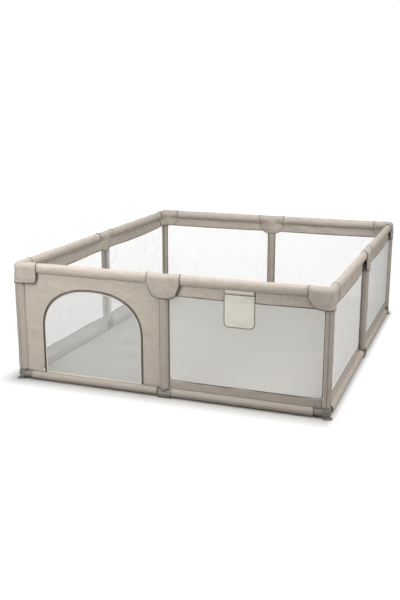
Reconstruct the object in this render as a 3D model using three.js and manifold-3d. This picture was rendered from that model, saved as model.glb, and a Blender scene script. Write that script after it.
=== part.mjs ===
// Rectangular playpen: a push-fit frame of steel tubes and plastic connectors inside a sewn, padded cover.
// Millimetres, +Z up. The origin is on the floor at the middle of the pen. The door is in the -Y wall.

import * as THREE from 'three';
import { mergeVertices } from 'three/addons/utils/BufferGeometryUtils.js';
import Module from 'manifold-3d';

const wasm = await Module();
wasm.setup();

// ---------------------------------------------------------------- overall size
const frontBay = 850; // post to post along the front and the back, two bays each
const sideBay = 1025; // post to post along the left and the right, two bays each
const height = 660; // floor to the top of the padded rail

// ---------------------------------------------------------------- frame tubes and connectors
const tubeRadius = 11;
const tubeWall = 0.8;
const spigotClearance = 0.3; // spigot to the inside of its tube
const seatGap = 0.3; // tube end to collar, and any other face to face seat
const collarRadius = 15;
const topCollarReach = 45; // joint centre to the end of a collar at the top rail
const spigotLength = 40;
const ballRadius = 17; // rounded heart of a top corner connector
const collarClearance = 0.5; // fabric tunnel to the collar inside it

// ---------------------------------------------------------------- feet
const railAxisLow = 26; // height of the bottom rail's axis
const footReach = 60; // corner foot: joint centre to the end of its collars
const footBodyRadius = 23;
const footBodyTop = 50;
const footBodyRound = 5;
const midFootReach = 45; // middle foot: joint centre to the end of its collars
const midFootHalfLength = 38;
const midFootHalfWidth = 23;
const midFootHeight = 28;
const midFootRound = 8;

// ---------------------------------------------------------------- suction cups under the corner feet
const cupRadius = 26;
const cupRim = 5; // width of the flat ring that meets the floor
const cupLip = 1.5;
const cupDome = 4; // height of the hollow underside
const cupDomeSlope = 4; // width of the slope from the hollow down to the ring
const cupNeckRadius = 9;
const cupStemRadius = 5;
const cupStemLength = 8;
const cupStemClearance = 0.4;
const cupOffset = 7; // towards the outside of the pen, along X and along Y

// ---------------------------------------------------------------- sewn cover
const railSleeveHalfHeight = 28; // padded sleeve round the top rail, an upright oval
const railSleeveHalfDepth = 20;
const railSleeveClearance = 0.5; // its padding to the steel tube
const hemRadius = 22.5; // sleeve round the bottom rail
const panelThickness = 3;
const cornerSleeveRadius = 21;
const cornerSleeveBottom = 54;
const midSleeveHalfWidth = 25.5;
const midSleeveHalfDepth = 22;
const midSleeveBottom = 41;
const cutBackGap = 2; // end of the hem to the plastic foot that shows in its notch

// ---------------------------------------------------------------- padded hoods over the top joints
const hoodHalfHeight = 29; // its round crown, an upright oval like the rail's sleeve
const hoodHalfDepth = 21;
const hoodClearance = 0.3;
const cornerHoodReach = 120;
const cornerHoodDrop = 113; // crown to the lower edge
const cornerHoodFlare = 28; // half thickness at its lower edge
const cornerHoodRound = 26; // rounded lower corner of each flap
const teeHoodReach = 90;
const teeHoodShoulderDrop = 55; // crown to where its sides start to draw in
const teeHoodWaist = 66; // half width where the lower edge starts to curve
const teeHoodWaistDrop = 108; // crown to where the lower edge starts to curve
const teeHoodDrop = 127; // crown to the lower edge
const teeHoodHalfDepth = 25.5; // half thickness at its lower edge

// ---------------------------------------------------------------- zipped doorway, left bay of the front
const doorHalfWidth = 290;
const doorCentre = -417; // along the front wall, from its middle post
const doorHinge = 50.8; // height of the sewn bottom edge that the door turns on
const doorSpring = 300; // height where the straight sides of the arch end
const doorTopDrop = 129; // crown of the rail to the top of the arch
const archPower = 2.3; // 2 is an ellipse, more is squarer at the shoulders
const archSteps = 20;
const zipGap = 0.5;
const doorUnderGap = 2.2; // room under the door's lower edge, so it can turn

// ---------------------------------------------------------------- zip slider and pull
const sliderWidth = 9;
const sliderThickness = 4.5;
const sliderAbovePivot = 7;
const sliderBelowPivot = 6;
const pivotHeight = 77; // the pull's pivot, with the zip closed
const sliderOffset = 6; // slider centre to the edge of the doorway
const stapleWidth = 3;
const stapleBar = 1.5;
const stapleReach = 2.3; // pivot to the inside of the staple's upper and lower legs
const pullBar = 2; // thickness of the pull and of its top bar
const pivotGap = 1.7; // pivot to the slider's face, and to the staple's outer leg
const pullWidth = 8;
const pullLength = 24;
const pullWindowWidth = 4.4;
const pullWindowLength = 6;

// ---------------------------------------------------------------- mesh pocket on the right bay of the front
const pocketWidth = 157;
const pocketCentre = 401; // along the front wall, from its middle post
const pocketMouthDrop = 78; // crown of the rail to the mouth
const pocketLength = 168; // mouth to the lower edge
const pocketRound = 25;
const pocketSheet = 1.5;
const pocketDepth = 12;

// ---------------------------------------------------------------- facets and cutters
const over = 1; // how far a cutter runs past what it cuts
const tubeSides = 12;
const sleeveSides = 12;
const roundSteps = 2; // a drawn arc has twice this many facets
const crownSteps = 4; // the same over the top of a hood
const domeSteps = 3; // rings in the dome of a corner hood

// ---------------------------------------------------------------- worked out from the sizes above
const railAxis = height - hoodHalfHeight; // the hoods' crown is the highest point
const cornerHoodBottom = height - cornerHoodDrop;
const teeHoodShoulder = height - teeHoodShoulderDrop;
const teeHoodWaistHeight = height - teeHoodWaistDrop;
const teeHoodBottom = height - teeHoodDrop;
const doorTop = height - doorTopDrop;
const pocketMouth = height - pocketMouthDrop;
const pocketBottom = pocketMouth - pocketLength;
const quarter = Math.PI / 2;
const footBodyBottom = railAxisLow - collarRadius;
const spigotRadius = tubeRadius - tubeWall - spigotClearance;
const tunnelRadius = collarRadius + collarClearance;
const midFootNotch = midFootHalfLength + cutBackGap;
const cornerFootNotch = footReach + cutBackGap;

// ================================================================ shape helpers

// A closed geometry as a manifold-3d solid.
function solid(geometry) {
  const bare = geometry.clone();
  bare.deleteAttribute('normal');
  bare.deleteAttribute('uv');
  const merged = mergeVertices(bare, 1e-4);
  const vertProperties = new Float32Array(merged.attributes.position.array);
  const triVerts = new Uint32Array(merged.index.array);
  return new wasm.Manifold(new wasm.Mesh({ numProp: 3, vertProperties, triVerts }));
}

function join(solids) {
  return solids.reduce((sum, next) => sum.add(next));
}

function cut(body, cutters) {
  return cutters.reduce((rest, next) => rest.subtract(next), body);
}

// A manifold-3d solid back as a three.js geometry.
function geometryOf(body) {
  const mesh = body.getMesh();
  const geometry = new THREE.BufferGeometry();
  geometry.setAttribute('position', new THREE.BufferAttribute(new Float32Array(mesh.vertProperties), 3));
  geometry.setIndex(new THREE.BufferAttribute(new Uint32Array(mesh.triVerts), 1));
  geometry.computeVertexNormals();
  return geometry;
}

// Turns a geometry that stands along +Y so that it runs along X or Z.
function along(axis, geometry) {
  if (axis === 'x') {
    geometry.rotateZ(-quarter);
  }
  if (axis === 'z') {
    geometry.rotateX(quarter);
  }
  return geometry;
}

// A round bar along one axis, from one coordinate to another, through a point of the other two.
function bar(axis, radius, from, to, at = [0, 0, 0], sides = tubeSides) {
  const geometry = along(axis, new THREE.CylinderGeometry(radius, radius, Math.abs(to - from), sides));
  const place = { x: at[0], y: at[1], z: at[2] };
  place[axis] += (from + to) / 2;
  geometry.translate(place.x, place.y, place.z);
  return solid(geometry);
}

function block(x, y, z) {
  const geometry = new THREE.BoxGeometry(x[1] - x[0], y[1] - y[0], z[1] - z[0]);
  geometry.translate((x[0] + x[1]) / 2, (y[0] + y[1]) / 2, (z[0] + z[1]) / 2);
  return solid(geometry);
}

// A solid of revolution about +Z: the profile is [radius, height] pairs, outer side going up.
function turned(profile, sides = sleeveSides) {
  const points = profile.map(([radius, z]) => new THREE.Vector2(radius, z));
  return along('z', new THREE.LatheGeometry(points, sides));
}

// An outline in X and Z, extruded through Y from one depth to another.
function plate(shape, yFrom, yTo, curveSegments = roundSteps) {
  const options = { depth: yTo - yFrom, bevelEnabled: false, curveSegments };
  const geometry = new THREE.ExtrudeGeometry(shape, options);
  geometry.rotateX(quarter);
  geometry.translate(0, yTo, 0);
  return solid(geometry);
}

// An outline in Y and Z, extruded along X from one place to another.
function beam(shape, xFrom, xTo, curveSegments = roundSteps) {
  const options = { depth: xTo - xFrom, bevelEnabled: false, curveSegments };
  const geometry = new THREE.ExtrudeGeometry(shape, options);
  geometry.rotateX(quarter);
  geometry.rotateZ(quarter);
  geometry.translate(xFrom, 0, 0);
  return solid(geometry);
}

function shapeOf(points) {
  return new THREE.Shape(points.map(([a, b]) => new THREE.Vector2(a, b)));
}

// ================================================================ frame

// A steel tube along +Z from 0 to its length.
function tubeGeometry(length) {
  const inner = tubeRadius - tubeWall;
  const ring = [[inner, 0], [tubeRadius, 0], [tubeRadius, length], [inner, length], [inner, 0]];
  return turned(ring, tubeSides);
}

// One arm of a connector: a collar that stops the tube, then the spigot inside it. side is 1 or -1.
function arm(axis, side, reach, at) {
  const end = reach + seatGap + spigotLength;
  const collar = bar(axis, collarRadius, 0, side * reach, at);
  const spigot = bar(axis, spigotRadius, 0, side * end, at);
  return collar.add(spigot);
}

function ball(radius, z) {
  const geometry = new THREE.SphereGeometry(radius, tubeSides, tubeSides / 3);
  geometry.rotateX(quarter);
  geometry.translate(0, 0, z);
  return solid(geometry);
}

function topCornerGeometry() {
  const at = [0, 0, railAxis];
  const arms = [['x', 1], ['y', 1], ['z', -1]].map(([axis, side]) => arm(axis, side, topCollarReach, at));
  return geometryOf(join([ball(ballRadius, railAxis), ...arms]));
}

function topTeeGeometry() {
  const at = [0, 0, railAxis];
  const arms = [['x', 1], ['x', -1], ['z', -1]].map(([axis, side]) => arm(axis, side, topCollarReach, at));
  return geometryOf(join(arms));
}

// ================================================================ feet

// Three-way foot: a round body under the post, with a socket for the suction cup's stem.
function cornerFootGeometry() {
  const r = footBodyRadius;
  const edge = footBodyRound;
  const body = solid(turned([
    [0, footBodyBottom], [r - edge, footBodyBottom], [r, footBodyBottom + edge],
    [r, footBodyTop - edge], [r - edge, footBodyTop], [0, footBodyTop],
  ]));
  const at = [0, 0, railAxisLow];
  const arms = [['x', 1], ['y', 1], ['z', 1]].map(([axis, side]) => arm(axis, side, footReach, at));
  const socketTop = footBodyBottom + cupStemLength + cupStemClearance;
  const socketAt = [-cupOffset, -cupOffset, 0];
  const socket = bar('z', cupStemRadius + cupStemClearance, footBodyBottom - over, socketTop, socketAt);
  return geometryOf(cut(join([body, ...arms]), [socket]));
}

// Middle foot: a low block that stands on the floor, with collars both ways along the rail and up.
function midFootGeometry() {
  const low = new THREE.Shape();
  const w = midFootHalfWidth;
  const h = midFootHeight;
  const r = midFootRound;
  low.moveTo(-w, 0);
  low.lineTo(w, 0);
  low.lineTo(w, h - r);
  low.absarc(w - r, h - r, r, 0, quarter, false);
  low.lineTo(-w + r, h);
  low.absarc(-w + r, h - r, r, quarter, 2 * quarter, false);
  const base = beam(low, -midFootHalfLength, midFootHalfLength);
  const at = [0, 0, railAxisLow];
  const arms = [['x', 1], ['x', -1], ['z', 1]].map(([axis, side]) => arm(axis, side, midFootReach, at));
  return geometryOf(join([base, ...arms]));
}

// Suction cup about its own axis: flat ring on the floor, hollow underside, stem up into the foot.
function cupGeometry() {
  const neckTop = footBodyBottom - seatGap;
  const stemTop = neckTop + cupStemLength;
  return turned([
    [0, cupDome], [cupRadius - cupRim - cupDomeSlope, cupDome / 2], [cupRadius - cupRim, 0], [cupRadius, 0],
    [cupRadius, cupLip], [(cupRadius + cupNeckRadius) / 2, neckTop / 2], [cupNeckRadius, neckTop],
    [cupStemRadius, neckTop], [cupStemRadius, stemTop], [0, stemTop],
  ]);
}

// ================================================================ padded hoods over the joints

// Section across the rail: round over the top, flat sides that end at the lower edge.
function hoodSection(bottom, lowHalf, grow) {
  const half = hoodHalfDepth + grow;
  const section = new THREE.Shape();
  section.moveTo(-lowHalf - grow, bottom - grow);
  section.lineTo(lowHalf + grow, bottom - grow);
  section.lineTo(half, railAxis);
  section.absellipse(0, railAxis, half, hoodHalfHeight + grow, 0, Math.PI, false, 0);
  return section;
}

// Flap of a corner hood seen square on: square at the ring, rounded at its lower corner.
function cornerFlap(grow) {
  const right = cornerHoodReach + grow;
  const low = cornerHoodBottom - grow;
  const r = cornerHoodRound;
  const flap = new THREE.Shape();
  flap.moveTo(0, low);
  flap.lineTo(right - r, low);
  flap.absarc(right - r, low + r, r, -quarter, 0, false);
  flap.lineTo(right, height + 2 * over);
  flap.lineTo(0, height + 2 * over);
  return flap;
}

function cornerHoodOuter(grow) {
  const section = hoodSection(cornerHoodBottom, cornerHoodFlare, grow);
  const wide = cornerHoodFlare + grow + over;
  const length = cornerHoodReach + grow;
  const side = beam(section, 0, length, crownSteps).intersect(plate(cornerFlap(grow), -wide, wide));
  const other = side.mirror([1, -1, 0]);
  const half = hoodHalfDepth + grow;
  const rise = hoodHalfHeight + grow;
  const dome = [];
  for (let i = 1; i < domeSteps; i += 1) {
    const lean = quarter * i / domeSteps;
    dome.push([half * Math.cos(lean), railAxis + rise * Math.sin(lean)]);
  }
  const post = solid(turned([
    [0, cornerHoodBottom - grow], [cornerHoodFlare + grow, cornerHoodBottom - grow], [half, railAxis],
    ...dome, [0, railAxis + rise],
  ]));
  return join([side, other, post]);
}

function teeHoodOuter(grow) {
  const wide = teeHoodReach + grow;
  const waist = teeHoodWaist + grow;
  const low = teeHoodBottom - grow;
  const outline = new THREE.Shape();
  outline.moveTo(0, low);
  outline.quadraticCurveTo(waist * 0.8, low, waist, teeHoodWaistHeight - grow);
  outline.lineTo(wide, teeHoodShoulder);
  outline.lineTo(wide, height + 2 * over);
  outline.lineTo(-wide, height + 2 * over);
  outline.lineTo(-wide, teeHoodShoulder);
  outline.lineTo(-waist, teeHoodWaistHeight - grow);
  outline.quadraticCurveTo(-waist * 0.8, low, 0, low);
  const section = hoodSection(teeHoodBottom, teeHoodHalfDepth, grow);
  const deep = Math.max(hoodHalfDepth, teeHoodHalfDepth) + grow + over;
  return beam(section, -wide, wide, crownSteps).intersect(plate(outline, -deep, deep));
}

function cornerHoodGeometry() {
  const at = [0, 0, railAxis];
  const tunnels = [
    bar('x', tunnelRadius, 0, cornerHoodReach + over, at),
    bar('y', tunnelRadius, 0, cornerHoodReach + over, at),
    bar('z', tunnelRadius, cornerHoodBottom - railAxis - over, 0, at),
    ball(ballRadius + collarClearance, railAxis),
  ];
  return geometryOf(cut(cornerHoodOuter(0), tunnels));
}

function teeHoodGeometry() {
  const at = [0, 0, railAxis];
  const tunnels = [
    bar('x', tunnelRadius, -teeHoodReach - over, teeHoodReach + over, at),
    bar('z', tunnelRadius, teeHoodBottom - railAxis - over, 0, at),
  ];
  return geometryOf(cut(teeHoodOuter(0), tunnels));
}

// ================================================================ walls of the cover

// Arched outline of the doorway, drawn in or out by a clearance.
function archShape(inset, low) {
  const half = doorHalfWidth - inset;
  const rise = doorTop - doorSpring - inset;
  const points = [[doorCentre - half, low], [doorCentre + half, low]];
  for (let i = 0; i <= archSteps; i += 1) {
    const turn = Math.PI * i / archSteps;
    const across = Math.sign(Math.cos(turn)) * Math.abs(Math.cos(turn)) ** (2 / archPower);
    points.push([doorCentre + half * across, doorSpring + rise * Math.sin(turn) ** (2 / archPower)]);
  }
  return shapeOf(points);
}

// One wall, in its own frame: X along the wall from the middle post, -Y to the outside of the pen.
function wallGeometry({ bay, ownsCorners, doorway }) {
  const half = panelThickness / 2;
  const panelEnd = ownsCorners ? bay : bay - cornerSleeveRadius - seatGap;
  const railAt = [0, 0, railAxis];
  const hemAt = [0, 0, railAxisLow];
  const hemEnd = bay - cornerFootNotch;
  const sleeveEnd = bay - cornerHoodReach;

  const panel = block([-panelEnd, panelEnd], [-half, half], [railAxisLow, railAxis]);
  const rail = bar('x', railSleeveHalfHeight, -sleeveEnd, sleeveEnd, [0, 0, 0], sleeveSides)
    .scale([1, railSleeveHalfDepth / railSleeveHalfHeight, 1])
    .translate(railAt);
  const hem = bar('x', hemRadius, -hemEnd, hemEnd, hemAt, sleeveSides);
  const notches = [
    block([-midFootNotch, midFootNotch], [-hemRadius - over, hemRadius + over], [0, railAxisLow + hemRadius]),
    block([hemEnd, bay + over], [-half - over, half + over], [0, cornerSleeveBottom]),
    block([-bay - over, -hemEnd], [-half - over, half + over], [0, cornerSleeveBottom]),
  ];
  const cloth = cut(join([panel, rail, hem]), notches);

  const oval = new THREE.CylinderGeometry(1, 1, teeHoodBottom - midSleeveBottom, sleeveSides);
  oval.scale(midSleeveHalfWidth, 1, midSleeveHalfDepth);
  along('z', oval).translate(0, 0, (teeHoodBottom + midSleeveBottom) / 2);
  const sleeves = [solid(oval)];
  const posts = [0];
  if (ownsCorners) {
    for (const x of [-bay, bay]) {
      const sleeveAt = [x, 0, 0];
      sleeves.push(bar('z', cornerSleeveRadius, cornerSleeveBottom, cornerHoodBottom, sleeveAt, sleeveSides));
      posts.push(x);
    }
  }

  const cutters = [
    bar('x', tubeRadius + railSleeveClearance, -bay, bay, railAt),
    bar('x', tunnelRadius, -bay, bay, hemAt),
    ...posts.map((x) => bar('z', tunnelRadius, 0, height, [x, 0, 0])),
    teeHoodOuter(hoodClearance),
    cornerHoodOuter(hoodClearance).translate([-bay, 0, 0]),
    cornerHoodOuter(hoodClearance).rotate([0, 0, 90]).translate([bay, 0, 0]),
  ];
  if (doorway) {
    cutters.push(plate(archShape(0, doorHinge - doorUnderGap), -half - over, half + over));
  }
  return geometryOf(cut(join([cloth, ...sleeves]), cutters));
}

// ================================================================ door, zip and pocket, front wall's frame

function doorGeometry() {
  return geometryOf(plate(archShape(zipGap, doorHinge), -panelThickness / 2, panelThickness / 2));
}

// Slider about the pull's pivot: a flat body on the zip tape and a staple that holds the pull.
function sliderGeometry() {
  const w = sliderWidth / 2;
  const s = stapleWidth / 2;
  const outer = -pivotGap - stapleBar;
  const leg = stapleReach + stapleBar;
  const body = block([-w, w], [pivotGap, pivotGap + sliderThickness], [-sliderBelowPivot, sliderAbovePivot]);
  const front = block([-s, s], [outer, -pivotGap], [-leg, leg]);
  const upper = block([-s, s], [outer, pivotGap + 0.5], [stapleReach, leg]);
  const lower = block([-s, s], [outer, pivotGap + 0.5], [-leg, -stapleReach]);
  return geometryOf(join([body, front, upper, lower]));
}

// Pull about its pivot: a top bar, a window that the staple passes through and a rounded tab.
function pullGeometry() {
  const w = pullWidth / 2;
  const top = pullBar / 2;
  const tab = new THREE.Shape();
  tab.moveTo(w, top);
  tab.lineTo(-w, top);
  tab.lineTo(-w, -pullLength + w);
  tab.absarc(0, -pullLength + w, w, Math.PI, 2 * Math.PI, false);
  const hole = pullWindowWidth / 2;
  const windowLow = -top - pullWindowLength;
  tab.holes.push(new THREE.Path([
    new THREE.Vector2(-hole, -top), new THREE.Vector2(-hole, windowLow),
    new THREE.Vector2(hole, windowLow), new THREE.Vector2(hole, -top),
  ]));
  return geometryOf(plate(tab, -pullBar / 2, pullBar / 2, 2 * roundSteps));
}

// Outline of the pocket: straight top, rounded lower corners.
function pocketShape(inset, top) {
  const w = pocketWidth / 2 - inset;
  const low = pocketBottom + inset;
  const r = pocketRound - inset;
  const shape = new THREE.Shape();
  shape.moveTo(w, top);
  shape.lineTo(-w, top);
  shape.lineTo(-w, low + r);
  shape.absarc(-w + r, low + r, r, Math.PI, 3 * quarter, false);
  shape.lineTo(w - r, low);
  shape.absarc(w - r, low + r, r, -quarter, 0, false);
  return shape;
}

// Flat pouch, open at the top: its back sheet rises behind the mouth to the rail's seam.
function pocketGeometry() {
  const seam = railAxis - railSleeveHalfHeight - seatGap;
  const back = -panelThickness / 2 - seatGap;
  const front = back - pocketDepth;
  const outside = plate(pocketShape(0, seam), front, back);
  const inside = plate(pocketShape(pocketSheet, seam + over), front + pocketSheet, back - pocketSheet);
  const wide = pocketWidth / 2 + over;
  const aboveMouth = block([-wide, wide], [front - over, back - pocketSheet], [pocketMouth, seam + over]);
  return geometryOf(cut(outside, [inside, aboveMouth]).translate([pocketCentre, 0, 0]));
}

// ================================================================ materials

const steel = { color: 0xb9bbbd, roughness: 0.35, metalness: 0.9 };
const innerPlastic = { color: 0x8b8580, roughness: 0.55, metalness: 0 };
const footPlastic = { color: 0x857c76, roughness: 0.5, metalness: 0 };
const cupRubber = { color: 0x65605d, roughness: 0.4, metalness: 0 };
const linen = { color: 0xcac0b4, roughness: 0.9, metalness: 0 };
const hoodLinen = { color: 0xc3b9ad, roughness: 0.9, metalness: 0 };
const mesh = { color: 0xe4e3df, roughness: 0.85, metalness: 0 };
const pocketMesh = { color: 0xd5d4c6, roughness: 0.85, metalness: 0 };
const zipMetal = { color: 0x7d736a, roughness: 0.4, metalness: 0.6 };
const pullCream = { color: 0xece6da, roughness: 0.5, metalness: 0 };

// ================================================================ assembly

const playpen = new THREE.Group();

// A named mesh with a material of its own, placed in a group.
function piece(group, name, geometry, look, position = [0, 0, 0]) {
  const node = new THREE.Mesh(geometry, new THREE.MeshStandardMaterial(look));
  node.name = name;
  node.position.set(...position);
  group.add(node);
  return node;
}

// A tube along the wall from x = from to x = to, at a height.
function railTube(group, name, from, to, z) {
  const tube = piece(group, name, tubeGeometry(to - from), steel, [from, 0, z]);
  tube.rotation.y = quarter;
}

const topStart = topCollarReach + seatGap;
const lowStart = midFootReach + seatGap;
const lowEnd = footReach + seatGap;
const topPostEnd = railAxis - topStart;

const sides = [
  { name: 'front', turn: 0, bay: frontBay, out: sideBay, ends: ['left', 'right'], ownsCorners: true },
  { name: 'right', turn: 1, bay: sideBay, out: frontBay, ends: ['front', 'back'], ownsCorners: false },
  { name: 'back', turn: 2, bay: frontBay, out: sideBay, ends: ['right', 'left'], ownsCorners: true },
  { name: 'left', turn: 3, bay: sideBay, out: frontBay, ends: ['back', 'front'], ownsCorners: false },
];

for (const side of sides) {
  const { name, bay } = side;
  const wall = new THREE.Group();
  wall.rotation.z = side.turn * quarter;
  wall.position.set(side.out * Math.sin(side.turn * quarter), -side.out * Math.cos(side.turn * quarter), 0);
  playpen.add(wall);

  railTube(wall, `top_rail_${name}_${side.ends[0]}`, -bay + topStart, -topStart, railAxis);
  railTube(wall, `top_rail_${name}_${side.ends[1]}`, topStart, bay - topStart, railAxis);
  railTube(wall, `bottom_rail_${name}_${side.ends[0]}`, -bay + lowEnd, -lowStart, railAxisLow);
  railTube(wall, `bottom_rail_${name}_${side.ends[1]}`, lowStart, bay - lowEnd, railAxisLow);

  const postFoot = railAxisLow + lowStart;
  piece(wall, `post_${name}_middle`, tubeGeometry(topPostEnd - postFoot), steel, [0, 0, postFoot]);
  piece(wall, `top_tee_${name}`, topTeeGeometry(), innerPlastic);
  piece(wall, `foot_${name}_middle`, midFootGeometry(), footPlastic);
  piece(wall, `joint_hood_${name}_middle`, teeHoodGeometry(), hoodLinen);
  const doorway = name === 'front';
  piece(wall, `cover_${name}`, wallGeometry({ bay, ownsCorners: side.ownsCorners, doorway }), linen);

  if (doorway) {
    piece(wall, 'door_panel', doorGeometry(), mesh);
    const sliderX = doorCentre - doorHalfWidth - sliderOffset;
    const pivotY = -panelThickness / 2 - seatGap - sliderThickness - pivotGap;
    piece(wall, 'zip_slider', sliderGeometry(), zipMetal, [sliderX, pivotY, pivotHeight]);
    piece(wall, 'zip_pull', pullGeometry(), pullCream, [sliderX, pivotY, pivotHeight]);
    piece(wall, 'pocket', pocketGeometry(), pocketMesh);
  }
}

const corners = [
  { name: 'front_left', turn: 0, x: -frontBay, y: -sideBay },
  { name: 'front_right', turn: 1, x: frontBay, y: -sideBay },
  { name: 'back_right', turn: 2, x: frontBay, y: sideBay },
  { name: 'back_left', turn: 3, x: -frontBay, y: sideBay },
];

for (const { name, turn, x, y } of corners) {
  const corner = new THREE.Group();
  corner.rotation.z = turn * quarter;
  corner.position.set(x, y, 0);
  playpen.add(corner);

  const postFoot = railAxisLow + lowEnd;
  piece(corner, `post_${name}`, tubeGeometry(topPostEnd - postFoot), steel, [0, 0, postFoot]);
  piece(corner, `top_corner_${name}`, topCornerGeometry(), innerPlastic);
  piece(corner, `foot_${name}`, cornerFootGeometry(), footPlastic);
  piece(corner, `suction_cup_${name}`, cupGeometry(), cupRubber, [-cupOffset, -cupOffset, 0]);
  piece(corner, `joint_hood_${name}`, cornerHoodGeometry(), hoodLinen);
}

export default playpen;
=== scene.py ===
"""Fabric playpen: padded cover, nets, zipped doorway, pocket and feet, built round a fixed steel frame.

Everything is in metres. The origin is on the floor at the middle of the pen, the doorway is in the -Y wall.
"""

import math

import bmesh
import bpy
import numpy as np
from bpy.props import FloatProperty, FloatVectorProperty, PointerProperty
from mathutils import Matrix, Vector


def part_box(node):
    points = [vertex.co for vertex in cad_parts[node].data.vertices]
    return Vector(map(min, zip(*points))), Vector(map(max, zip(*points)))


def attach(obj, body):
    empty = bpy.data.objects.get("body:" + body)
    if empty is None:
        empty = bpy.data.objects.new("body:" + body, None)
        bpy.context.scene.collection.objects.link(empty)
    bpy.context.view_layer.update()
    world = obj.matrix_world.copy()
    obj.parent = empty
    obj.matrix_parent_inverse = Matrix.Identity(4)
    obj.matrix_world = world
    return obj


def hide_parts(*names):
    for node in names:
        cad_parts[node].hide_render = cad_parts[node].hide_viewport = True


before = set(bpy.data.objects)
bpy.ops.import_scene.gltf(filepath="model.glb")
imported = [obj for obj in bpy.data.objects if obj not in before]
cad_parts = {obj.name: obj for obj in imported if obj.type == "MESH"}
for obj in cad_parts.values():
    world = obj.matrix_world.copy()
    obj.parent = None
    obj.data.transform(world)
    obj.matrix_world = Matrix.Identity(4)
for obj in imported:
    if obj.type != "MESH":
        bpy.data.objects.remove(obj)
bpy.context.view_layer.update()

bl_info = {
    "name": "Playpen Cover",
    "version": (1, 0, 0),
    "blender": (4, 5, 0),
    "location": "3D View > Sidebar > Playpen",
    "description": "Sews the cover, nets, doorway and pocket of a playpen round its tube frame",
    "category": "Object",
}

# ---------------------------------------------------------------- where the frame is


def centre_of(node):
    low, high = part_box(node)
    return (low + high) / 2


POST_X = -centre_of("post_front_left").x
POST_Y = -centre_of("post_front_left").y
RAIL_Z = centre_of("top_rail_front_left").z
LOW_RAIL_Z = centre_of("bottom_rail_front_left").z
HOOD_LOW, HOOD_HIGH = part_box("joint_hood_front_left")
TEE_LOW, TEE_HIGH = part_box("joint_hood_front_middle")
DOOR_LOW, DOOR_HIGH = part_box("door_panel")
POCKET_LOW, POCKET_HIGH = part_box("pocket")
CROWN = HOOD_HIGH.z
HOOD_REACH = HOOD_HIGH.x + POST_X
HOOD_BOTTOM = HOOD_LOW.z
CROWN_HALF_HEIGHT = CROWN - RAIL_Z
CROWN_HALF_DEPTH = 0.021
TEE_REACH = TEE_HIGH.x
TEE_BOTTOM = TEE_LOW.z
FOOT_TOP = 0.050
FOOT_REACH = 0.060
FOOT_ARM_RADIUS = 0.0186
SPIGOT_RADIUS = 0.015
CORNER_NOTCH = 0.062
MIDDLE_NOTCH = 0.040
PAD_OVERLAP = 0.030
BAND_TOP = RAIL_Z - 0.027
SLEEVE_TOP = RAIL_Z - 0.055
SEAM_TOP = RAIL_Z - 0.07
SEAM_RADIUS = 0.0008
SLEEVE_WALL = 0.003
MIDDLE_SLEEVE_HALF_DEPTH = 0.022
POCKET_MOUTH = CROWN - 0.078
POCKET_BULGE = 0.0062
LONG_WALLS = {"left", "right"}

# How each corner hood is cut: how far it flares, then for the flap along its X and along its Y wall how
# far the flap reaches, where its lower edge starts to rise, how far it rises, and how suddenly.
HOOD_CUTS = {
    "front_left": (0.0265, (0.118, 0.088, 0.030, 3.5), (0.112, 0.060, 0.045, 2.2)),
    "front_right": (0.0235, (0.104, 0.020, 0.056, 1.1), (0.106, 0.048, 0.053, 2.2)),
    "back_right": (0.0245, (0.110, 0.060, 0.045, 2.2), (0.110, 0.040, 0.050, 1.6)),
    "back_left": (0.0245, (0.110, 0.060, 0.045, 2.2), (0.110, 0.060, 0.045, 2.2)),
}

SIDES = (
    ("front", 0, POST_X, POST_Y, ("left", "right")),
    ("right", 1, POST_Y, POST_X, ("front", "back")),
    ("back", 2, POST_X, POST_Y, ("right", "left")),
    ("left", 3, POST_Y, POST_X, ("back", "front")),
)
CORNERS = (
    ("front_left", 0, -POST_X, -POST_Y, "front"),
    ("front_right", 1, POST_X, -POST_Y, "front"),
    ("back_right", 2, POST_X, POST_Y, "back"),
    ("back_left", 3, -POST_X, POST_Y, "back"),
)


def wall_place(turn, out):
    """A wall's own frame: X along the wall from its middle post, -Y to the outside."""
    return Matrix.Rotation(math.radians(90 * turn), 4, "Z") @ Matrix.Translation((0, -out, 0))


def corner_place(turn, x, y):
    """A corner's own frame: its two walls run along +X and +Y."""
    return Matrix.Translation((x, y, 0)) @ Matrix.Rotation(math.radians(90 * turn), 4, "Z")


# ---------------------------------------------------------------- mesh making


def lattice(points, closed=False, uv=None):
    """Faces and UVs, in metres, of a grid of points. closed joins the last column to the first."""
    rows, columns = points.shape[:2]
    if uv is None:
        along = np.linalg.norm(np.diff(points, axis=0), axis=2).mean(1)
        wrapped = np.concatenate([points, points[:, :1]], axis=1) if closed else points
        across = np.linalg.norm(np.diff(wrapped, axis=1), axis=2).mean(0)
        u = np.concatenate([[0], np.cumsum(along)])
        v = np.concatenate([[0], np.cumsum(across)])
        uv = np.stack(np.meshgrid(u, v, indexing="ij"), axis=2)
    faces, corners = [], []
    for i in range(rows - 1):
        for j in range(columns if closed else columns - 1):
            k = (j + 1) % columns
            faces.append((i * columns + j, (i + 1) * columns + j, (i + 1) * columns + k, i * columns + k))
            corners.extend((uv[i, j], uv[i + 1, j], uv[i + 1, j + 1], uv[i, j + 1]))
    return points.reshape(-1, 3), faces, corners


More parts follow.
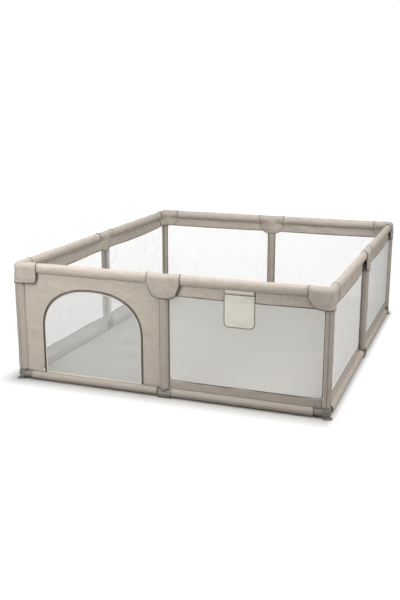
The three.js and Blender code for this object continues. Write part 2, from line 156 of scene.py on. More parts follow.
def make_mesh(name, points, faces, corners, outward=None, weld=0.0, smooth_times=0):
    """A mesh with a UV map. outward gives the way a face should look, from the face's middle."""
    mesh = bpy.data.meshes.new(name)
    mesh.from_pydata([tuple(p) for p in points], [], faces)
    layer = mesh.uv_layers.new(name="UVMap")
    layer.data.foreach_set("uv", np.array(corners, np.float32).ravel())
    bm = bmesh.new()
    bm.from_mesh(mesh)
    if weld:
        bmesh.ops.remove_doubles(bm, verts=bm.verts, dist=weld)
        bmesh.ops.dissolve_degenerate(bm, edges=bm.edges, dist=weld)
    inner = [v for v in bm.verts if not v.is_boundary]
    for _ in range(smooth_times):
        bmesh.ops.smooth_vert(bm, verts=inner, factor=0.5, use_axis_x=True, use_axis_y=True, use_axis_z=True)
    bm.normal_update()
    if outward is not None:
        score = sum(f.normal.dot(outward(f.calc_center_median())) * f.calc_area() for f in bm.faces)
        if score < 0:
            bmesh.ops.reverse_faces(bm, faces=bm.faces)
    for face in bm.faces:
        face.smooth = True
    bm.to_mesh(mesh)
    bm.free()
    return mesh


def place_piece(name, mesh, place, material, body="frame", slot=None, stands_for=()):
    """A piece of the pen in its place, riding on its body."""
    piece = bpy.data.objects.new(name, mesh)
    bpy.context.scene.collection.objects.link(piece)
    if not piece.data.materials:
        piece.data.materials.append(material)
    piece.matrix_world = place
    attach(piece, body)
    if stands_for:
        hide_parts(*stands_for)
    return piece


def thicken(piece, thickness, offset=0.0):
    layer = piece.modifiers.new("Thickness", "SOLIDIFY")
    layer.thickness = thickness
    layer.offset = offset
    layer.use_even_offset = True


def cloth_waves(u, v, seed, longest=0.16, shortest=0.03, count=9):
    """Smooth uneven waves from about -1 to 1 over a cloth, the same every time for one seed."""
    random = np.random.default_rng(seed)
    total = np.zeros(np.broadcast(u, v).shape)
    weight = 0.0
    for _ in range(count):
        length = math.exp(random.uniform(math.log(shortest), math.log(longest)))
        turn = random.uniform(0, math.pi)
        phase = random.uniform(0, 2 * math.pi)
        strength = length / longest
        total += strength * np.sin(2 * math.pi * (u * math.cos(turn) + v * math.sin(turn)) / length + phase)
        weight += strength**2
    return total / math.sqrt(weight)


def blow_up(mesh, held, pressure, limit, growth=0.0, frames=14):
    """Lets cloth settle under air pressure, its held points pinned and no point moved past the limit."""
    scene = bpy.context.scene
    trial = bpy.data.objects.new("cloth_trial", mesh.copy())
    scene.collection.objects.link(trial)
    trial.vertex_groups.new(name="held").add([int(k) for k in held], 1.0, "REPLACE")
    cloth = trial.modifiers.new("Cloth", "CLOTH")
    cloth.settings.quality = 6
    cloth.settings.mass = 0.25
    cloth.settings.tension_stiffness = 20
    cloth.settings.compression_stiffness = 12
    cloth.settings.shear_stiffness = 6
    cloth.settings.bending_stiffness = 0.3
    cloth.settings.vertex_group_mass = "held"
    cloth.settings.use_pressure = True
    cloth.settings.uniform_pressure_force = pressure
    cloth.settings.shrink_min = -growth
    cloth.settings.effector_weights.gravity = 0.0
    cloth.collision_settings.use_collision = False
    cloth.point_cache.frame_start = 1
    cloth.point_cache.frame_end = frames
    for step in range(1, frames + 1):
        scene.frame_set(step)
    settled = trial.evaluated_get(bpy.context.evaluated_depsgraph_get()).to_mesh()
    rest = np.zeros(len(mesh.vertices) * 3)
    moved = np.zeros(len(mesh.vertices) * 3)
    mesh.vertices.foreach_get("co", rest)
    settled.vertices.foreach_get("co", moved)
    shift = (moved - rest).reshape(-1, 3)
    length = np.linalg.norm(shift, axis=1)
    length[length < 1e-9] = 1e-9
    shift *= (limit * np.tanh(length / limit) / length)[:, None]
    shift[[int(k) for k in held]] = 0.0
    mesh.vertices.foreach_set("co", rest + shift.ravel())
    mesh.update()
    scene.frame_set(1)
    data = trial.data
    bpy.data.objects.remove(trial)
    bpy.data.meshes.remove(data)


def rim_points(mesh):
    """The points on a mesh's open edges."""
    used = {}
    for face in mesh.polygons:
        for key in face.edge_keys:
            used[key] = used.get(key, 0) + 1
    return sorted({k for key, count in used.items() if count == 1 for k in key})


def even_steps(low, high, step):
    return np.linspace(low, high, max(2, int(round((high - low) / step)) + 1))


def resample(path, step, closed):
    """Points at equal steps along a path."""
    path = np.asarray(path, float)
    if closed:
        path = np.vstack([path, path[:1]])
    keep = np.concatenate([[True], np.linalg.norm(np.diff(path, axis=0), axis=1) > 1e-6])
    path = path[keep]
    far = np.concatenate([[0], np.cumsum(np.linalg.norm(np.diff(path, axis=0), axis=1))])
    count = max(3, int(math.ceil(far[-1] / step)))
    at = np.linspace(0, far[-1], count + 1)
    even = np.stack([np.interp(at, far, path[:, k]) for k in range(3)], axis=1)
    return even[:-1] if closed else even


def swept(path, section, closed=False, up=(0, 0, 1), step=0.006):
    """A grid of points: a section of (sideways, upward) pairs carried along a path."""
    line = resample(path, step, closed)
    if closed:
        ahead = np.roll(line, -1, axis=0) - np.roll(line, 1, axis=0)
    else:
        ahead = np.gradient(line, axis=0)
    ahead /= np.linalg.norm(ahead, axis=1)[:, None]
    up = np.asarray(up, float)
    frames = []
    last = None
    for direction in ahead:
        guide = up if last is None else last
        across = guide - direction * guide.dot(direction)
        if np.linalg.norm(across) < 1e-6:
            across = np.cross(direction, (1.0, 0.0, 0.0))
        across /= np.linalg.norm(across)
        last = across
        frames.append((np.cross(direction, across), across))
    grid = np.array([
        [point + side * a + rise * b for a, b in section]
        for point, (side, rise) in zip(line, frames)
    ])
    if closed:
        grid = np.concatenate([grid, grid[:1]])
    return grid


def round_section(radius, sides=8):
    return [
        (radius * math.cos(2 * math.pi * k / sides), radius * math.sin(2 * math.pi * k / sides))
        for k in range(sides)
    ]


def flat_section(half_width, half_height, sides=10):
    """A soft-edged flat strip: wide in its second direction."""
    return [
        (half_height * math.copysign(abs(c) ** 0.7, c), half_width * math.copysign(abs(s) ** 0.7, s))
        for c, s in round_section(1.0, sides)
    ]


def turned_outward(mesh):
    """A closed mesh with every face looking out."""
    bm = bmesh.new()
    bm.from_mesh(mesh)
    bmesh.ops.recalc_face_normals(bm, faces=bm.faces)
    bm.to_mesh(mesh)
    bm.free()
    return mesh


def cord_mesh(name, path, section, closed=False, up=(0, 0, 1), step=0.006):
    grid = swept(path, section, closed, up, step)
    points, faces, corners = lattice(grid, closed=True)
    if not closed:
        ends = len(points)
        points = np.vstack([points, grid[0].mean(0), grid[-1].mean(0)])
        sides = grid.shape[1]
        for k in range(sides):
            faces.append((k, (k + 1) % sides, ends))
            corners.extend([(0, 0), (0, 0.001), (0.001, 0)])
            base = (grid.shape[0] - 1) * sides
            faces.append((base + (k + 1) % sides, base + k, ends + 1))
            corners.extend([(0, 0), (0, 0.001), (0.001, 0)])
    return turned_outward(make_mesh(name, points, faces, corners, weld=1e-6 if closed else 0.0))


def join_meshes(name, meshes):
    """Several meshes in one."""
    bm = bmesh.new()
    for mesh in meshes:
        bm.from_mesh(mesh)
    made = bpy.data.meshes.new(name)
    bm.to_mesh(made)
    bm.free()
    for mesh in meshes:
        bpy.data.meshes.remove(mesh)
    return made


def lathe_mesh(name, profile, sides=40, centre=(0.0, 0.0)):
    """A solid of revolution about +Z from (radius, height) pairs."""
    turns = np.linspace(0, 2 * math.pi, sides, endpoint=False)
    grid = np.array([
        [(centre[0] + r * math.cos(t), centre[1] + r * math.sin(t), z) for t in turns]
        for r, z in profile
    ])
    points, faces, corners = lattice(grid, closed=True)
    return turned_outward(make_mesh(name, points, faces, corners, weld=1e-6))


def rounded_profile(corner_points, radius, steps=4):
    """(radius, height) pairs with their corners rounded."""
    out = []
    points = [np.array(p, float) for p in corner_points]
    for k, here in enumerate(points):
        if k in (0, len(points) - 1):
            out.append(tuple(here))
            continue
        before, after = points[k - 1] - here, points[k + 1] - here
        reach = min(radius, 0.45 * np.linalg.norm(before), 0.45 * np.linalg.norm(after))
        start = here + before / np.linalg.norm(before) * reach
        end = here + after / np.linalg.norm(after) * reach
        for t in np.linspace(0, 1, steps + 1):
            out.append(tuple((1 - t) ** 2 * start + 2 * t * (1 - t) * here + t**2 * end))
    return out


# ---------------------------------------------------------------- finishes


def new_group(name, inputs, outputs):
    group = bpy.data.node_groups.new(name, "ShaderNodeTree")
    for socket, kind, default in inputs:
        made = group.interface.new_socket(name=socket, in_out="INPUT", socket_type=kind)
        if default is not None:
            made.default_value = default
    for socket, kind in outputs:
        group.interface.new_socket(name=socket, in_out="OUTPUT", socket_type=kind)
    return group, group.nodes.new("NodeGroupInput"), group.nodes.new("NodeGroupOutput")


class Wiring:
    """Short ways to add and join shader nodes in one tree."""

    def __init__(self, tree):
        self.tree = tree

    def _set(self, socket, value):
        if isinstance(value, bpy.types.NodeSocket):
            self.tree.links.new(value, socket)
        elif value is not None:
            socket.default_value = value

    def math(self, operation, a, b=None, clamp=False):
        node = self.tree.nodes.new("ShaderNodeMath")
        node.operation = operation
        node.use_clamp = clamp
        for socket, value in zip(node.inputs, (a, b)):
            self._set(socket, value)
        return node.outputs[0]

    def plus(self, a, b, clamp=False):
        return self.math("ADD", a, b, clamp)

    def minus(self, a, b):
        return self.math("SUBTRACT", a, b)

    def times(self, a, b, clamp=False):
        return self.math("MULTIPLY", a, b, clamp)

    def mix(self, factor, a, b):
        node = self.tree.nodes.new("ShaderNodeMix")
        node.data_type = "RGBA"
        self._set(node.inputs["Factor"], factor)
        self._set(node.inputs[6], a)
        self._set(node.inputs[7], b)
        return node.outputs[2]

    def split(self, vector):
        node = self.tree.nodes.new("ShaderNodeSeparateXYZ")
        self._set(node.inputs[0], vector)
        return node.outputs

    def join(self, x=0.0, y=0.0, z=0.0):
        node = self.tree.nodes.new("ShaderNodeCombineXYZ")
        for socket, value in zip(node.inputs, (x, y, z)):
            self._set(socket, value)
        return node.outputs[0]

    def noise(self, vector, scale, detail=2.0, roughness=0.5):
        node = self.tree.nodes.new("ShaderNodeTexNoise")
        self._set(node.inputs["Vector"], vector)
        self._set(node.inputs["Scale"], scale)
        node.inputs["Detail"].default_value = detail
        node.inputs["Roughness"].default_value = roughness
        return node.outputs["Fac"]

    def remap(self, value, low, high, to_low=0.0, to_high=1.0):
        node = self.tree.nodes.new("ShaderNodeMapRange")
        self._set(node.inputs["Value"], value)
        for name, number in (("From Min", low), ("From Max", high), ("To Min", to_low), ("To Max", to_high)):
            self._set(node.inputs[name], number)
        return node.outputs[0]

    def group(self, group, **values):
        node = self.tree.nodes.new("ShaderNodeGroup")
        node.node_tree = group
        for name, value in values.items():
            self._set(node.inputs[name.replace("_", " ")], value)
        return node.outputs

    def bump(self, height, strength, distance):
        node = self.tree.nodes.new("ShaderNodeBump")
        node.inputs["Strength"].default_value = strength
        node.inputs["Distance"].default_value = distance
        self._set(node.inputs["Height"], height)
        return node.outputs[0]


def linen_weave_group():
    """Plain weave of uneven threads, with the flecks and streaks of a heathered cloth."""
    group, start, end = new_group(
        "LinenWeave",
        (
            ("Cloth Place", "NodeSocketVector", None),
            ("Thread Pitch", "NodeSocketFloat", 0.0009),
            ("Colour", "NodeSocketColor", (0.6, 0.55, 0.48, 1)),
            ("Fleck Colour", "NodeSocketColor", (0.4, 0.36, 0.31, 1)),
            ("Fleck Amount", "NodeSocketFloat", 0.5),
        ),
        (("Colour", "NodeSocketColor"), ("Height", "NodeSocketFloat"), ("Roughness", "NodeSocketFloat")),
    )
    w = Wiring(group)
    u, v, _ = w.split(start.outputs["Cloth Place"])
    pitch = start.outputs["Thread Pitch"]
    across = w.math("DIVIDE", w.times(u, math.pi), pitch)
    along = w.math("DIVIDE", w.times(v, math.pi), pitch)
    sine_u, sine_v = w.math("SINE", across), w.math("SINE", along)
    over = w.remap(w.times(sine_u, sine_v), -0.25, 0.25)
    warp, weft = w.math("ABSOLUTE", sine_u), w.math("ABSOLUTE", sine_v)
    height = w.plus(w.times(warp, over), w.times(weft, w.minus(1.0, over)))
    # long thin flecks along both thread directions, and the broad mottling of the dye
    fleck_u = w.noise(w.join(w.times(u, 38.0), w.times(v, 420.0)), 1.0, 3.0, 0.6)
    fleck_v = w.noise(w.join(w.times(u, 420.0), w.times(v, 38.0), 7.0), 1.0, 3.0, 0.6)
    streak = w.noise(w.join(w.times(u, 14.0), w.times(v, 90.0), 3.0), 1.0, 2.0, 0.5)
    mottle = w.noise(start.outputs["Cloth Place"], 45.0, 3.0, 0.6)
    heather = w.noise(w.join(w.times(u, 120.0), w.times(v, 260.0), 11.0), 1.0, 2.0, 0.7)
    flecks = w.plus(*(w.times(w.remap(fleck, 0.42, 0.72), 0.40) for fleck in (fleck_u, fleck_v)))
    broad = w.plus(w.times(w.remap(streak, 0.35, 0.7), 0.30), w.times(w.remap(mottle, 0.35, 0.7), 0.20))
    broad = w.plus(broad, w.times(w.remap(heather, 0.38, 0.66), 0.42))
    # painted shade: the hollows between the threads are drawn towards the fleck colour
    thread_gap_shade = w.times(w.minus(1.0, height), 0.35)
    share = w.times(w.plus(w.plus(flecks, broad), thread_gap_shade), start.outputs["Fleck Amount"], clamp=True)
    colour = w.mix(share, start.outputs["Colour"], start.outputs["Fleck Colour"])
    group.links.new(colour, end.inputs["Colour"])
    group.links.new(w.plus(height, w.times(flecks, 0.6)), end.inputs["Height"])
    group.links.new(w.remap(flecks, 0.0, 1.0, 0.92, 0.74), end.inputs["Roughness"])
    return group


def net_weave_group():
    """Fine diamond net: a mask of its threads and their rounded height."""
    group, start, end = new_group(
        "NetWeave",
        (
            ("Cloth Place", "NodeSocketVector", None),
            ("Mesh Size", "NodeSocketFloat", 0.0024),
            ("Thread Share", "NodeSocketFloat", 0.22),
        ),
        (("Thread", "NodeSocketFloat"), ("Height", "NodeSocketFloat"), ("Shade", "NodeSocketFloat")),
    )
    w = Wiring(group)
    u, v, _ = w.split(start.outputs["Cloth Place"])
    size = start.outputs["Mesh Size"]
    across = w.math("DIVIDE", u, size)
    along = w.math("DIVIDE", v, w.times(size, 1.6))
    lines = []
    for sign in ("ADD", "SUBTRACT"):
        place = w.math("FRACT", w.math(sign, across, along))
        lines.append(w.times(w.math("ABSOLUTE", w.minus(place, 0.5)), 2.0))
    nearest = w.math("MAXIMUM", lines[0], lines[1])
    edge = w.minus(1.0, start.outputs["Thread Share"])
    thread = w.remap(nearest, w.minus(edge, 0.03), w.plus(edge, 0.03))
    group.links.new(thread, end.inputs["Thread"])
    group.links.new(w.remap(nearest, edge, 1.0), end.inputs["Height"])
    uneven = w.noise(start.outputs["Cloth Place"], 9.0, 3.0, 0.55)
    group.links.new(w.remap(uneven, 0.3, 0.7, 0.0, 1.0), end.inputs["Shade"])
    return group


def handling_wear_group():
    """Where hands and floors leave a mark: a soft mask of dust low down and rubbing higher up."""
    group, start, end = new_group(
        "HandlingWear",
        (("Amount", "NodeSocketFloat", 0.3), ("Grain Scale", "NodeSocketFloat", 60.0)),
        (("Mask", "NodeSocketFloat"), ("Grain", "NodeSocketFloat")),
    )
    w = Wiring(group)
    place = group.nodes.new("ShaderNodeNewGeometry").outputs["Position"]
    x, y, z = w.split(place)
    low = w.remap(z, 0.0, 0.12, 1.0, 0.0)
    patches = w.remap(w.noise(place, 14.0, 4.0, 0.6), 0.45, 0.75)
    mask = w.times(w.plus(w.times(low, 0.6), w.times(patches, 0.5)), start.outputs["Amount"], clamp=True)
    group.links.new(mask, end.inputs["Mask"])
    group.links.new(w.noise(place, start.outputs["Grain Scale"], 3.0, 0.6), end.inputs["Grain"])
    return group


def material_with_shader(name):
    made = bpy.data.materials.new(name)
    made.use_nodes = True
    tree = made.node_tree
    shader = next(n for n in tree.nodes if n.type == "BSDF_PRINCIPLED")
    return made, tree, shader, Wiring(tree)


def cloth_place(tree):
    node = tree.nodes.new("ShaderNodeUVMap")
    node.uv_map = "UVMap"
    return node.outputs[0]


def shade_of(colour, scale):
    return tuple(c * scale for c in colour)


def colour4(colour, scale=1.0):
    return tuple(min(1.0, c * scale) for c in colour) + (1.0,)


def linen_material(
    name, groups, colour, fleck, fleck_amount=0.6, pitch=0.0009, relief=0.45, wear=0.12, sheen=0.12
):
    made, tree, shader, w = material_with_shader(name)
    weave = w.group(
        groups["linen"],
        Cloth_Place=cloth_place(tree),
        Thread_Pitch=pitch,
        Colour=colour4(colour),
        Fleck_Colour=colour4(fleck),
        Fleck_Amount=fleck_amount,
    )
    rubbed = w.group(groups["wear"], Amount=wear, Grain_Scale=25.0)
    tree.links.new(w.mix(rubbed["Mask"], weave["Colour"], colour4(colour, 0.72)), shader.inputs["Base Color"])
    tree.links.new(weave["Roughness"], shader.inputs["Roughness"])
    tree.links.new(w.bump(weave["Height"], relief, pitch * 0.35), shader.inputs["Normal"])
    shader.inputs["Sheen Weight"].default_value = sheen
    shader.inputs["Sheen Roughness"].default_value = 0.5
    shader.inputs["Specular IOR Level"].default_value = 0.25
    return made


def net_material(name, groups, colour, share, size=0.0024, shade=0.1):
    """A net looks closed when it is seen along its face, because its threads have thickness."""
    made, tree, shader, w = material_with_shader(name)
    weave = w.group(groups["net"], Cloth_Place=cloth_place(tree), Mesh_Size=size, Thread_Share=share)
    tree.links.new(
        w.mix(w.times(weave["Shade"], shade), colour4(colour), colour4(colour, 0.7)),
        shader.inputs["Base Color"],
    )
    facing = tree.nodes.new("ShaderNodeLayerWeight")
    facing.inputs["Blend"].default_value = 0.5
    fade = w.remap(facing.outputs["Facing"], 0.62, 0.80)
    along = w.remap(facing.outputs["Facing"], 0.62, 0.84, share, 0.94)
    alpha = w.plus(weave["Thread"], w.times(fade, w.minus(along, weave["Thread"])))
    tree.links.new(alpha, shader.inputs["Alpha"])
    tree.links.new(w.bump(weave["Height"], 0.4, 0.0003), shader.inputs["Normal"])
    shader.inputs["Roughness"].default_value = 0.7
    shader.inputs["Specular IOR Level"].default_value = 0.2
    return made


def plastic_material(name, groups, colour, roughness=0.45, wear=0.3, grain=0.15):
    made, tree, shader, w = material_with_shader(name)
    rubbed = w.group(groups["wear"], Amount=wear, Grain_Scale=900.0)
    tree.links.new(w.mix(rubbed["Mask"], colour4(colour), colour4(colour, 1.35)), shader.inputs["Base Color"])
    tree.links.new(
        w.remap(rubbed["Grain"], 0.2, 0.8, roughness - 0.08, roughness + 0.12), shader.inputs["Roughness"]
    )
    tree.links.new(w.bump(rubbed["Grain"], grain, 0.0004), shader.inputs["Normal"])
    return made


def metal_material(name, groups, colour, roughness=0.3, brushed=True):
    made, tree, shader, w = material_with_shader(name)
    rubbed = w.group(groups["wear"], Amount=0.25, Grain_Scale=700.0)
    place = tree.nodes.new("ShaderNodeNewGeometry").outputs["Position"]
    x, y, z = w.split(place)
    stretch = 30.0 if brushed else 300.0
    lines = w.noise(w.join(w.times(x, stretch), w.times(y, stretch), w.times(z, 2400.0)), 1.0, 2.0)
    tree.links.new(w.mix(rubbed["Mask"], colour4(colour), colour4(colour, 0.6)), shader.inputs["Base Color"])
    tree.links.new(w.remap(lines, 0.3, 0.7, roughness - 0.06, roughness + 0.1), shader.inputs["Roughness"])
    tree.links.new(w.bump(lines, 0.1, 0.0002), shader.inputs["Normal"])
    shader.inputs["Metallic"].default_value = 1.0
    return made


FINISHES = {}


def finishes(cover):
    """Every finish of the pen, made once."""
    if FINISHES:
        return FINISHES
    groups = {"linen": linen_weave_group(), "net": net_weave_group(), "wear": handling_wear_group()}
    linen, fleck, trim = tuple(cover.linen_colour), tuple(cover.fleck_colour), tuple(cover.trim_colour)
    FINISHES.update(
        linen=linen_material("CoverLinen", groups, linen, fleck),
        hood=linen_material("HoodLinen", groups, shade_of(linen, 0.90), fleck, 0.7),
        # painted shade: a darker copy of the linen for the post sleeves and for the low bands of the walls away
        # from the side light, standing in for the shade there
        sleeve=linen_material("SleeveShadedLinen", groups, shade_of(linen, 0.78), shade_of(fleck, 0.85)),
        lining=linen_material("PaleLining", groups, (0.43, 0.42, 0.40), (0.38, 0.37, 0.35), 0.3),
        # painted shade: a still darker copy of the linen for the hems along the floor, standing in for the shade
        # low down
        hem=linen_material("HemShadedLinen", groups, shade_of(linen, 0.74), shade_of(fleck, 0.80)),
        trim=linen_material("DarkBinding", groups, trim, shade_of(trim, 0.6), 0.6, 0.0006, 0.6, 0.1, 0.05),
        cream=linen_material(
            "CreamBinding", groups, tuple(cover.cream_colour), shade_of(cover.cream_colour, 0.8), 0.4, 0.0006
        ),
        zip=linen_material(
            "ZipTape", groups, shade_of(trim, 0.85), shade_of(trim, 0.5), 0.6, 0.0005, 0.8, 0.1, 0.05
        ),
        net=net_material("WindowNet", groups, tuple(cover.net_colour), cover.net_share),
        door_net=net_material("DoorNet", groups, shade_of(cover.net_colour, 0.66), cover.net_share * 2.1),
        pocket=net_material(
            "PocketNet", groups, tuple(cover.pocket_colour), cover.pocket_share, 0.0016, 0.15
        ),
        plastic=plastic_material("FootPlastic", groups, tuple(cover.foot_colour)),
        joint=plastic_material("JointPlastic", groups, (0.12, 0.115, 0.11), 0.5),
        rubber=plastic_material("CupRubber", groups, tuple(cover.cup_colour), 0.38, 0.45, 0.08),
        steel=metal_material("BrushedTube", groups, (0.62, 0.62, 0.63), 0.3),
        slider=metal_material("PaintedSlider", groups, (0.30, 0.27, 0.24), 0.35, brushed=False),
        pull=plastic_material("CreamPull", groups, (0.78, 0.75, 0.68), 0.4, 0.2),
    )
    return FINISHES


# ---------------------------------------------------------------- what a user may change


class PlaypenCover(bpy.types.PropertyGroup):
    linen_colour: FloatVectorProperty(
        name="Linen",
        description="Main colour of the cover",
        default=(0.57, 0.51, 0.445),
        subtype="COLOR",
        min=0,
        max=1,
    )
    fleck_colour: FloatVectorProperty(
        name="Flecks",
        description="Darker threads in the linen",
        default=(0.33, 0.285, 0.24),
        subtype="COLOR",
        min=0,
        max=1,
    )
    trim_colour: FloatVectorProperty(
        name="Binding",
        description="Dark binding round the windows and hoods",
        default=(0.155, 0.13, 0.108),
        subtype="COLOR",
        min=0,
        max=1,
    )
    cream_colour: FloatVectorProperty(
        name="Cream",
        description="Pale binding of the door and pocket",
        default=(0.74, 0.71, 0.63),
        subtype="COLOR",
        min=0,
        max=1,
    )
    net_colour: FloatVectorProperty(
        name="Net",
        description="Threads of the window nets",
        default=(0.80, 0.79, 0.77),
        subtype="COLOR",
        min=0,
        max=1,
    )
    pocket_colour: FloatVectorProperty(
        name="Pocket net",
        description="Threads of the pocket",
        default=(0.84, 0.83, 0.74),
        subtype="COLOR",
        min=0,
        max=1,
    )
    foot_colour: FloatVectorProperty(
        name="Feet",
        description="Plastic of the feet",
        default=(0.175, 0.155, 0.140),
        subtype="COLOR",
        min=0,
        max=1,
    )
    cup_colour: FloatVectorProperty(
        name="Cups",
        description="Rubber of the suction cups",
        default=(0.12, 0.112, 0.105),
        subtype="COLOR",
        min=0,
        max=1,
    )
    net_share: FloatProperty(
        name="Net thread share",
        description="How much of the net's mesh its threads take up, along each line",
        default=0.145,
        min=0.05,
        max=0.9,
    )
    pocket_share: FloatProperty(
        name="Pocket thread share",
        description="The same for the pocket's net",
        default=0.40,
        min=0.05,
        max=0.9,
    )
    rail_half_height: FloatProperty(
        name="Rail pad half height",
        description="Half the height of the padded top rail",
        default=0.028,
        unit="LENGTH",
    )
    rail_half_depth: FloatProperty(
        name="Rail pad half depth",
        description="Half the thickness of the padded top rail, across the wall",
        default=0.0195,
        unit="LENGTH",
    )
    hem_radius: FloatProperty(
        name="Hem radius",
        description="Half the thickness of the sleeve round the bottom rail",
        default=0.0225,
        unit="LENGTH",
    )
    top_band: FloatProperty(
        name="Top band edge",
        description="Height of the lower edge of the band under the top rail",
        default=0.548,
        unit="LENGTH",
    )
    low_band: FloatProperty(
        name="Low band edge",
        description="Height of the upper edge of the band over the hem",
        default=0.095,
        unit="LENGTH",
    )
    hem_seam: FloatProperty(
        name="Hem seam",
        description="Height of the seam where the hem joins the band",
        default=0.0485,
        unit="LENGTH",
    )
    binding: FloatProperty(
        name="Binding", description="Half the width of the dark binding", default=0.0022, unit="LENGTH"
    )
    cloth_thickness: FloatProperty(
        name="Cloth", description="Thickness of the padded bands", default=0.0026, unit="LENGTH"
    )
    corner_sleeve: FloatProperty(
        name="Corner sleeve radius",
        description="Half the thickness of a corner post's sleeve",
        default=0.0208,
        unit="LENGTH",
    )
    middle_sleeve: FloatProperty(
        name="Middle sleeve half width",
        description="Half the width of a middle post's sleeve",
        default=0.0250,
        unit="LENGTH",
    )
    door_spring: FloatProperty(
        name="Arch spring",
        description="Height where the straight sides of the doorway end",
        default=0.300,
        unit="LENGTH",
    )
    arch_power: FloatProperty(
        name="Arch squareness",
        description="2 is an ellipse, more is squarer at the shoulders",
        default=2.3,
        min=1.5,
        max=6,
    )


class PlaypenStage(bpy.types.PropertyGroup):
    camera_place: FloatVectorProperty(
        name="Camera",
        description="Where the camera stands",
        default=(1.561, -4.732, 1.559),
        subtype="TRANSLATION",
    )
    camera_turn: FloatVectorProperty(
        name="Camera turn",
        description="How the camera is turned",
        default=(math.radians(75.51), 0.0, math.radians(20.24)),
        subtype="EULER",
    )
    lens: FloatProperty(
        name="Lens",
        description="Focal length in millimetres on a 36 mm sensor",
        default=49.1,
        min=10,
        max=200,
    )
    backdrop: FloatProperty(
        name="Backdrop", description="Brightness of the white backdrop", default=1.03, min=0, max=4
    )
    ambient: FloatProperty(
        name="Ambient", description="Strength of the soft light from all round", default=0.08, min=0, max=4
    )
    key_light: FloatProperty(
        name="Key", description="Power of the light at the front left", default=46, min=0, unit="POWER"
    )
    side_light: FloatProperty(
        name="Side", description="Power of the light at the right", default=165, min=0, unit="POWER"
    )
    back_light: FloatProperty(
        name="Back", description="Power of the weak light behind, low down", default=55, min=0, unit="POWER"
    )
    top_light: FloatProperty(
        name="Top", description="Power of the light overhead", default=225, min=0, unit="POWER"
    )


# ---------------------------------------------------------------- shapes shared by several pieces


def wall_bays(bay, cover):
    """The two bays of a wall, as from and to along the wall, between its post sleeves."""
    inner = cover.middle_sleeve - 0.002
    outer = bay - cover.corner_sleeve + 0.002
    return ((-outer, -inner), (inner, outer))


def every_bay(cover):
    """The eight bays: side, end, the wall's place, its half length, the bay's from and to, its own number."""
    for side, turn, half_length, out, ends in SIDES:
        for k, (end, span) in enumerate(zip(ends, wall_bays(half_length, cover))):
            yield side, end, wall_place(turn, out), half_length, span, 7 * turn + k


def window_bays(cover):
    """Every bay but the doorway's."""
    return (bay for bay in every_bay(cover) if bay[:2] != ("front", "left"))


def bay_steps(low, high, step, span):
    """Even steps away from the middle post, towards the bay's own end."""
    return even_steps(low, high, step) * (-1 if span[0] < 0 else 1)


def ring_from(x_steps, sides):
    """Grids of the place along a sleeve and of the turn round it."""
    return np.meshgrid(x_steps, np.linspace(0, 2 * math.pi, sides, endpoint=False), indexing="ij")


def turn_away(turn):
    """How far a turn is from zero, either way round."""
    return np.abs((turn + math.pi) % (2 * math.pi) - math.pi)


def flat_cloth(x0, x1, z0, z1, seed, wave, step_x=0.012, step_z=0.008, hold=True):
    """A grid of points of a hanging cloth in a wall's own frame. Its waves die out at held edges."""
    xs, zs = even_steps(x0, x1, step_x), even_steps(z0, z1, step_z)
    x, z = np.meshgrid(xs, zs, indexing="ij")
    y = wave * cloth_waves(x, z, seed)
    if hold:
        edge = np.minimum.reduce([x - x0, x1 - x, z - z0, z1 - z])
        y *= np.clip(edge / 0.03, 0, 1)
    uv = np.stack([x, z], axis=2)
    return np.stack([x, y, z], axis=2), uv


def drawn_in(x, x0, x1, side):
    """On the long side walls the cloth is sewn to the inner side of the middle sleeve."""
    if side not in LONG_WALLS:
        return x * 0.0
    past = np.abs(x) - min(abs(x0), abs(x1))
    return 0.017 * np.clip(1 - past / 0.16, 0, 1) ** 1.5


def outward_wall(_):
    return Vector((0, -1, 0))


def cloth_piece(name, grid, uv, place, material, slot, outward=outward_wall, weld=0.0, **riding):
    """A sheet of cloth from a grid of points."""
    mesh = make_mesh(name, *lattice(grid, uv=uv), outward, weld)
    return place_piece(name, mesh, place, material, slot=slot, **riding)


def arch_line(inset, low, cover, steps=48):
    """The doorway's outline in the front wall's frame, from its lower left up, over and down again."""
    centre = (DOOR_LOW.x + DOOR_HIGH.x) / 2
    half = (DOOR_HIGH.x - DOOR_LOW.x) / 2 + 0.0005 - inset
    rise = DOOR_HIGH.z + 0.0005 - cover.door_spring - inset
    legs = even_steps(low, cover.door_spring, 0.012)
    path = [(centre - half, z) for z in legs[:-1]]
    for k in range(steps + 1):
        turn = math.pi * (1 - k / steps)
        c, s = math.cos(turn), math.sin(turn)
        path.append((
            centre + half * math.copysign(abs(c) ** (2 / cover.arch_power), c),
            cover.door_spring + rise * abs(s) ** (2 / cover.arch_power),
        ))
    path.extend((centre + half, z) for z in legs[::-1][1:])
    return np.array(path)


class PiecesOperator(bpy.types.Operator):
    """Shared by the operators that make pieces."""

    bl_options = {"REGISTER", "UNDO"}

    def execute(self, context):
        cover = context.scene.playpen_cover
        self.make(cover, finishes(cover))
        return {"FINISHED"}


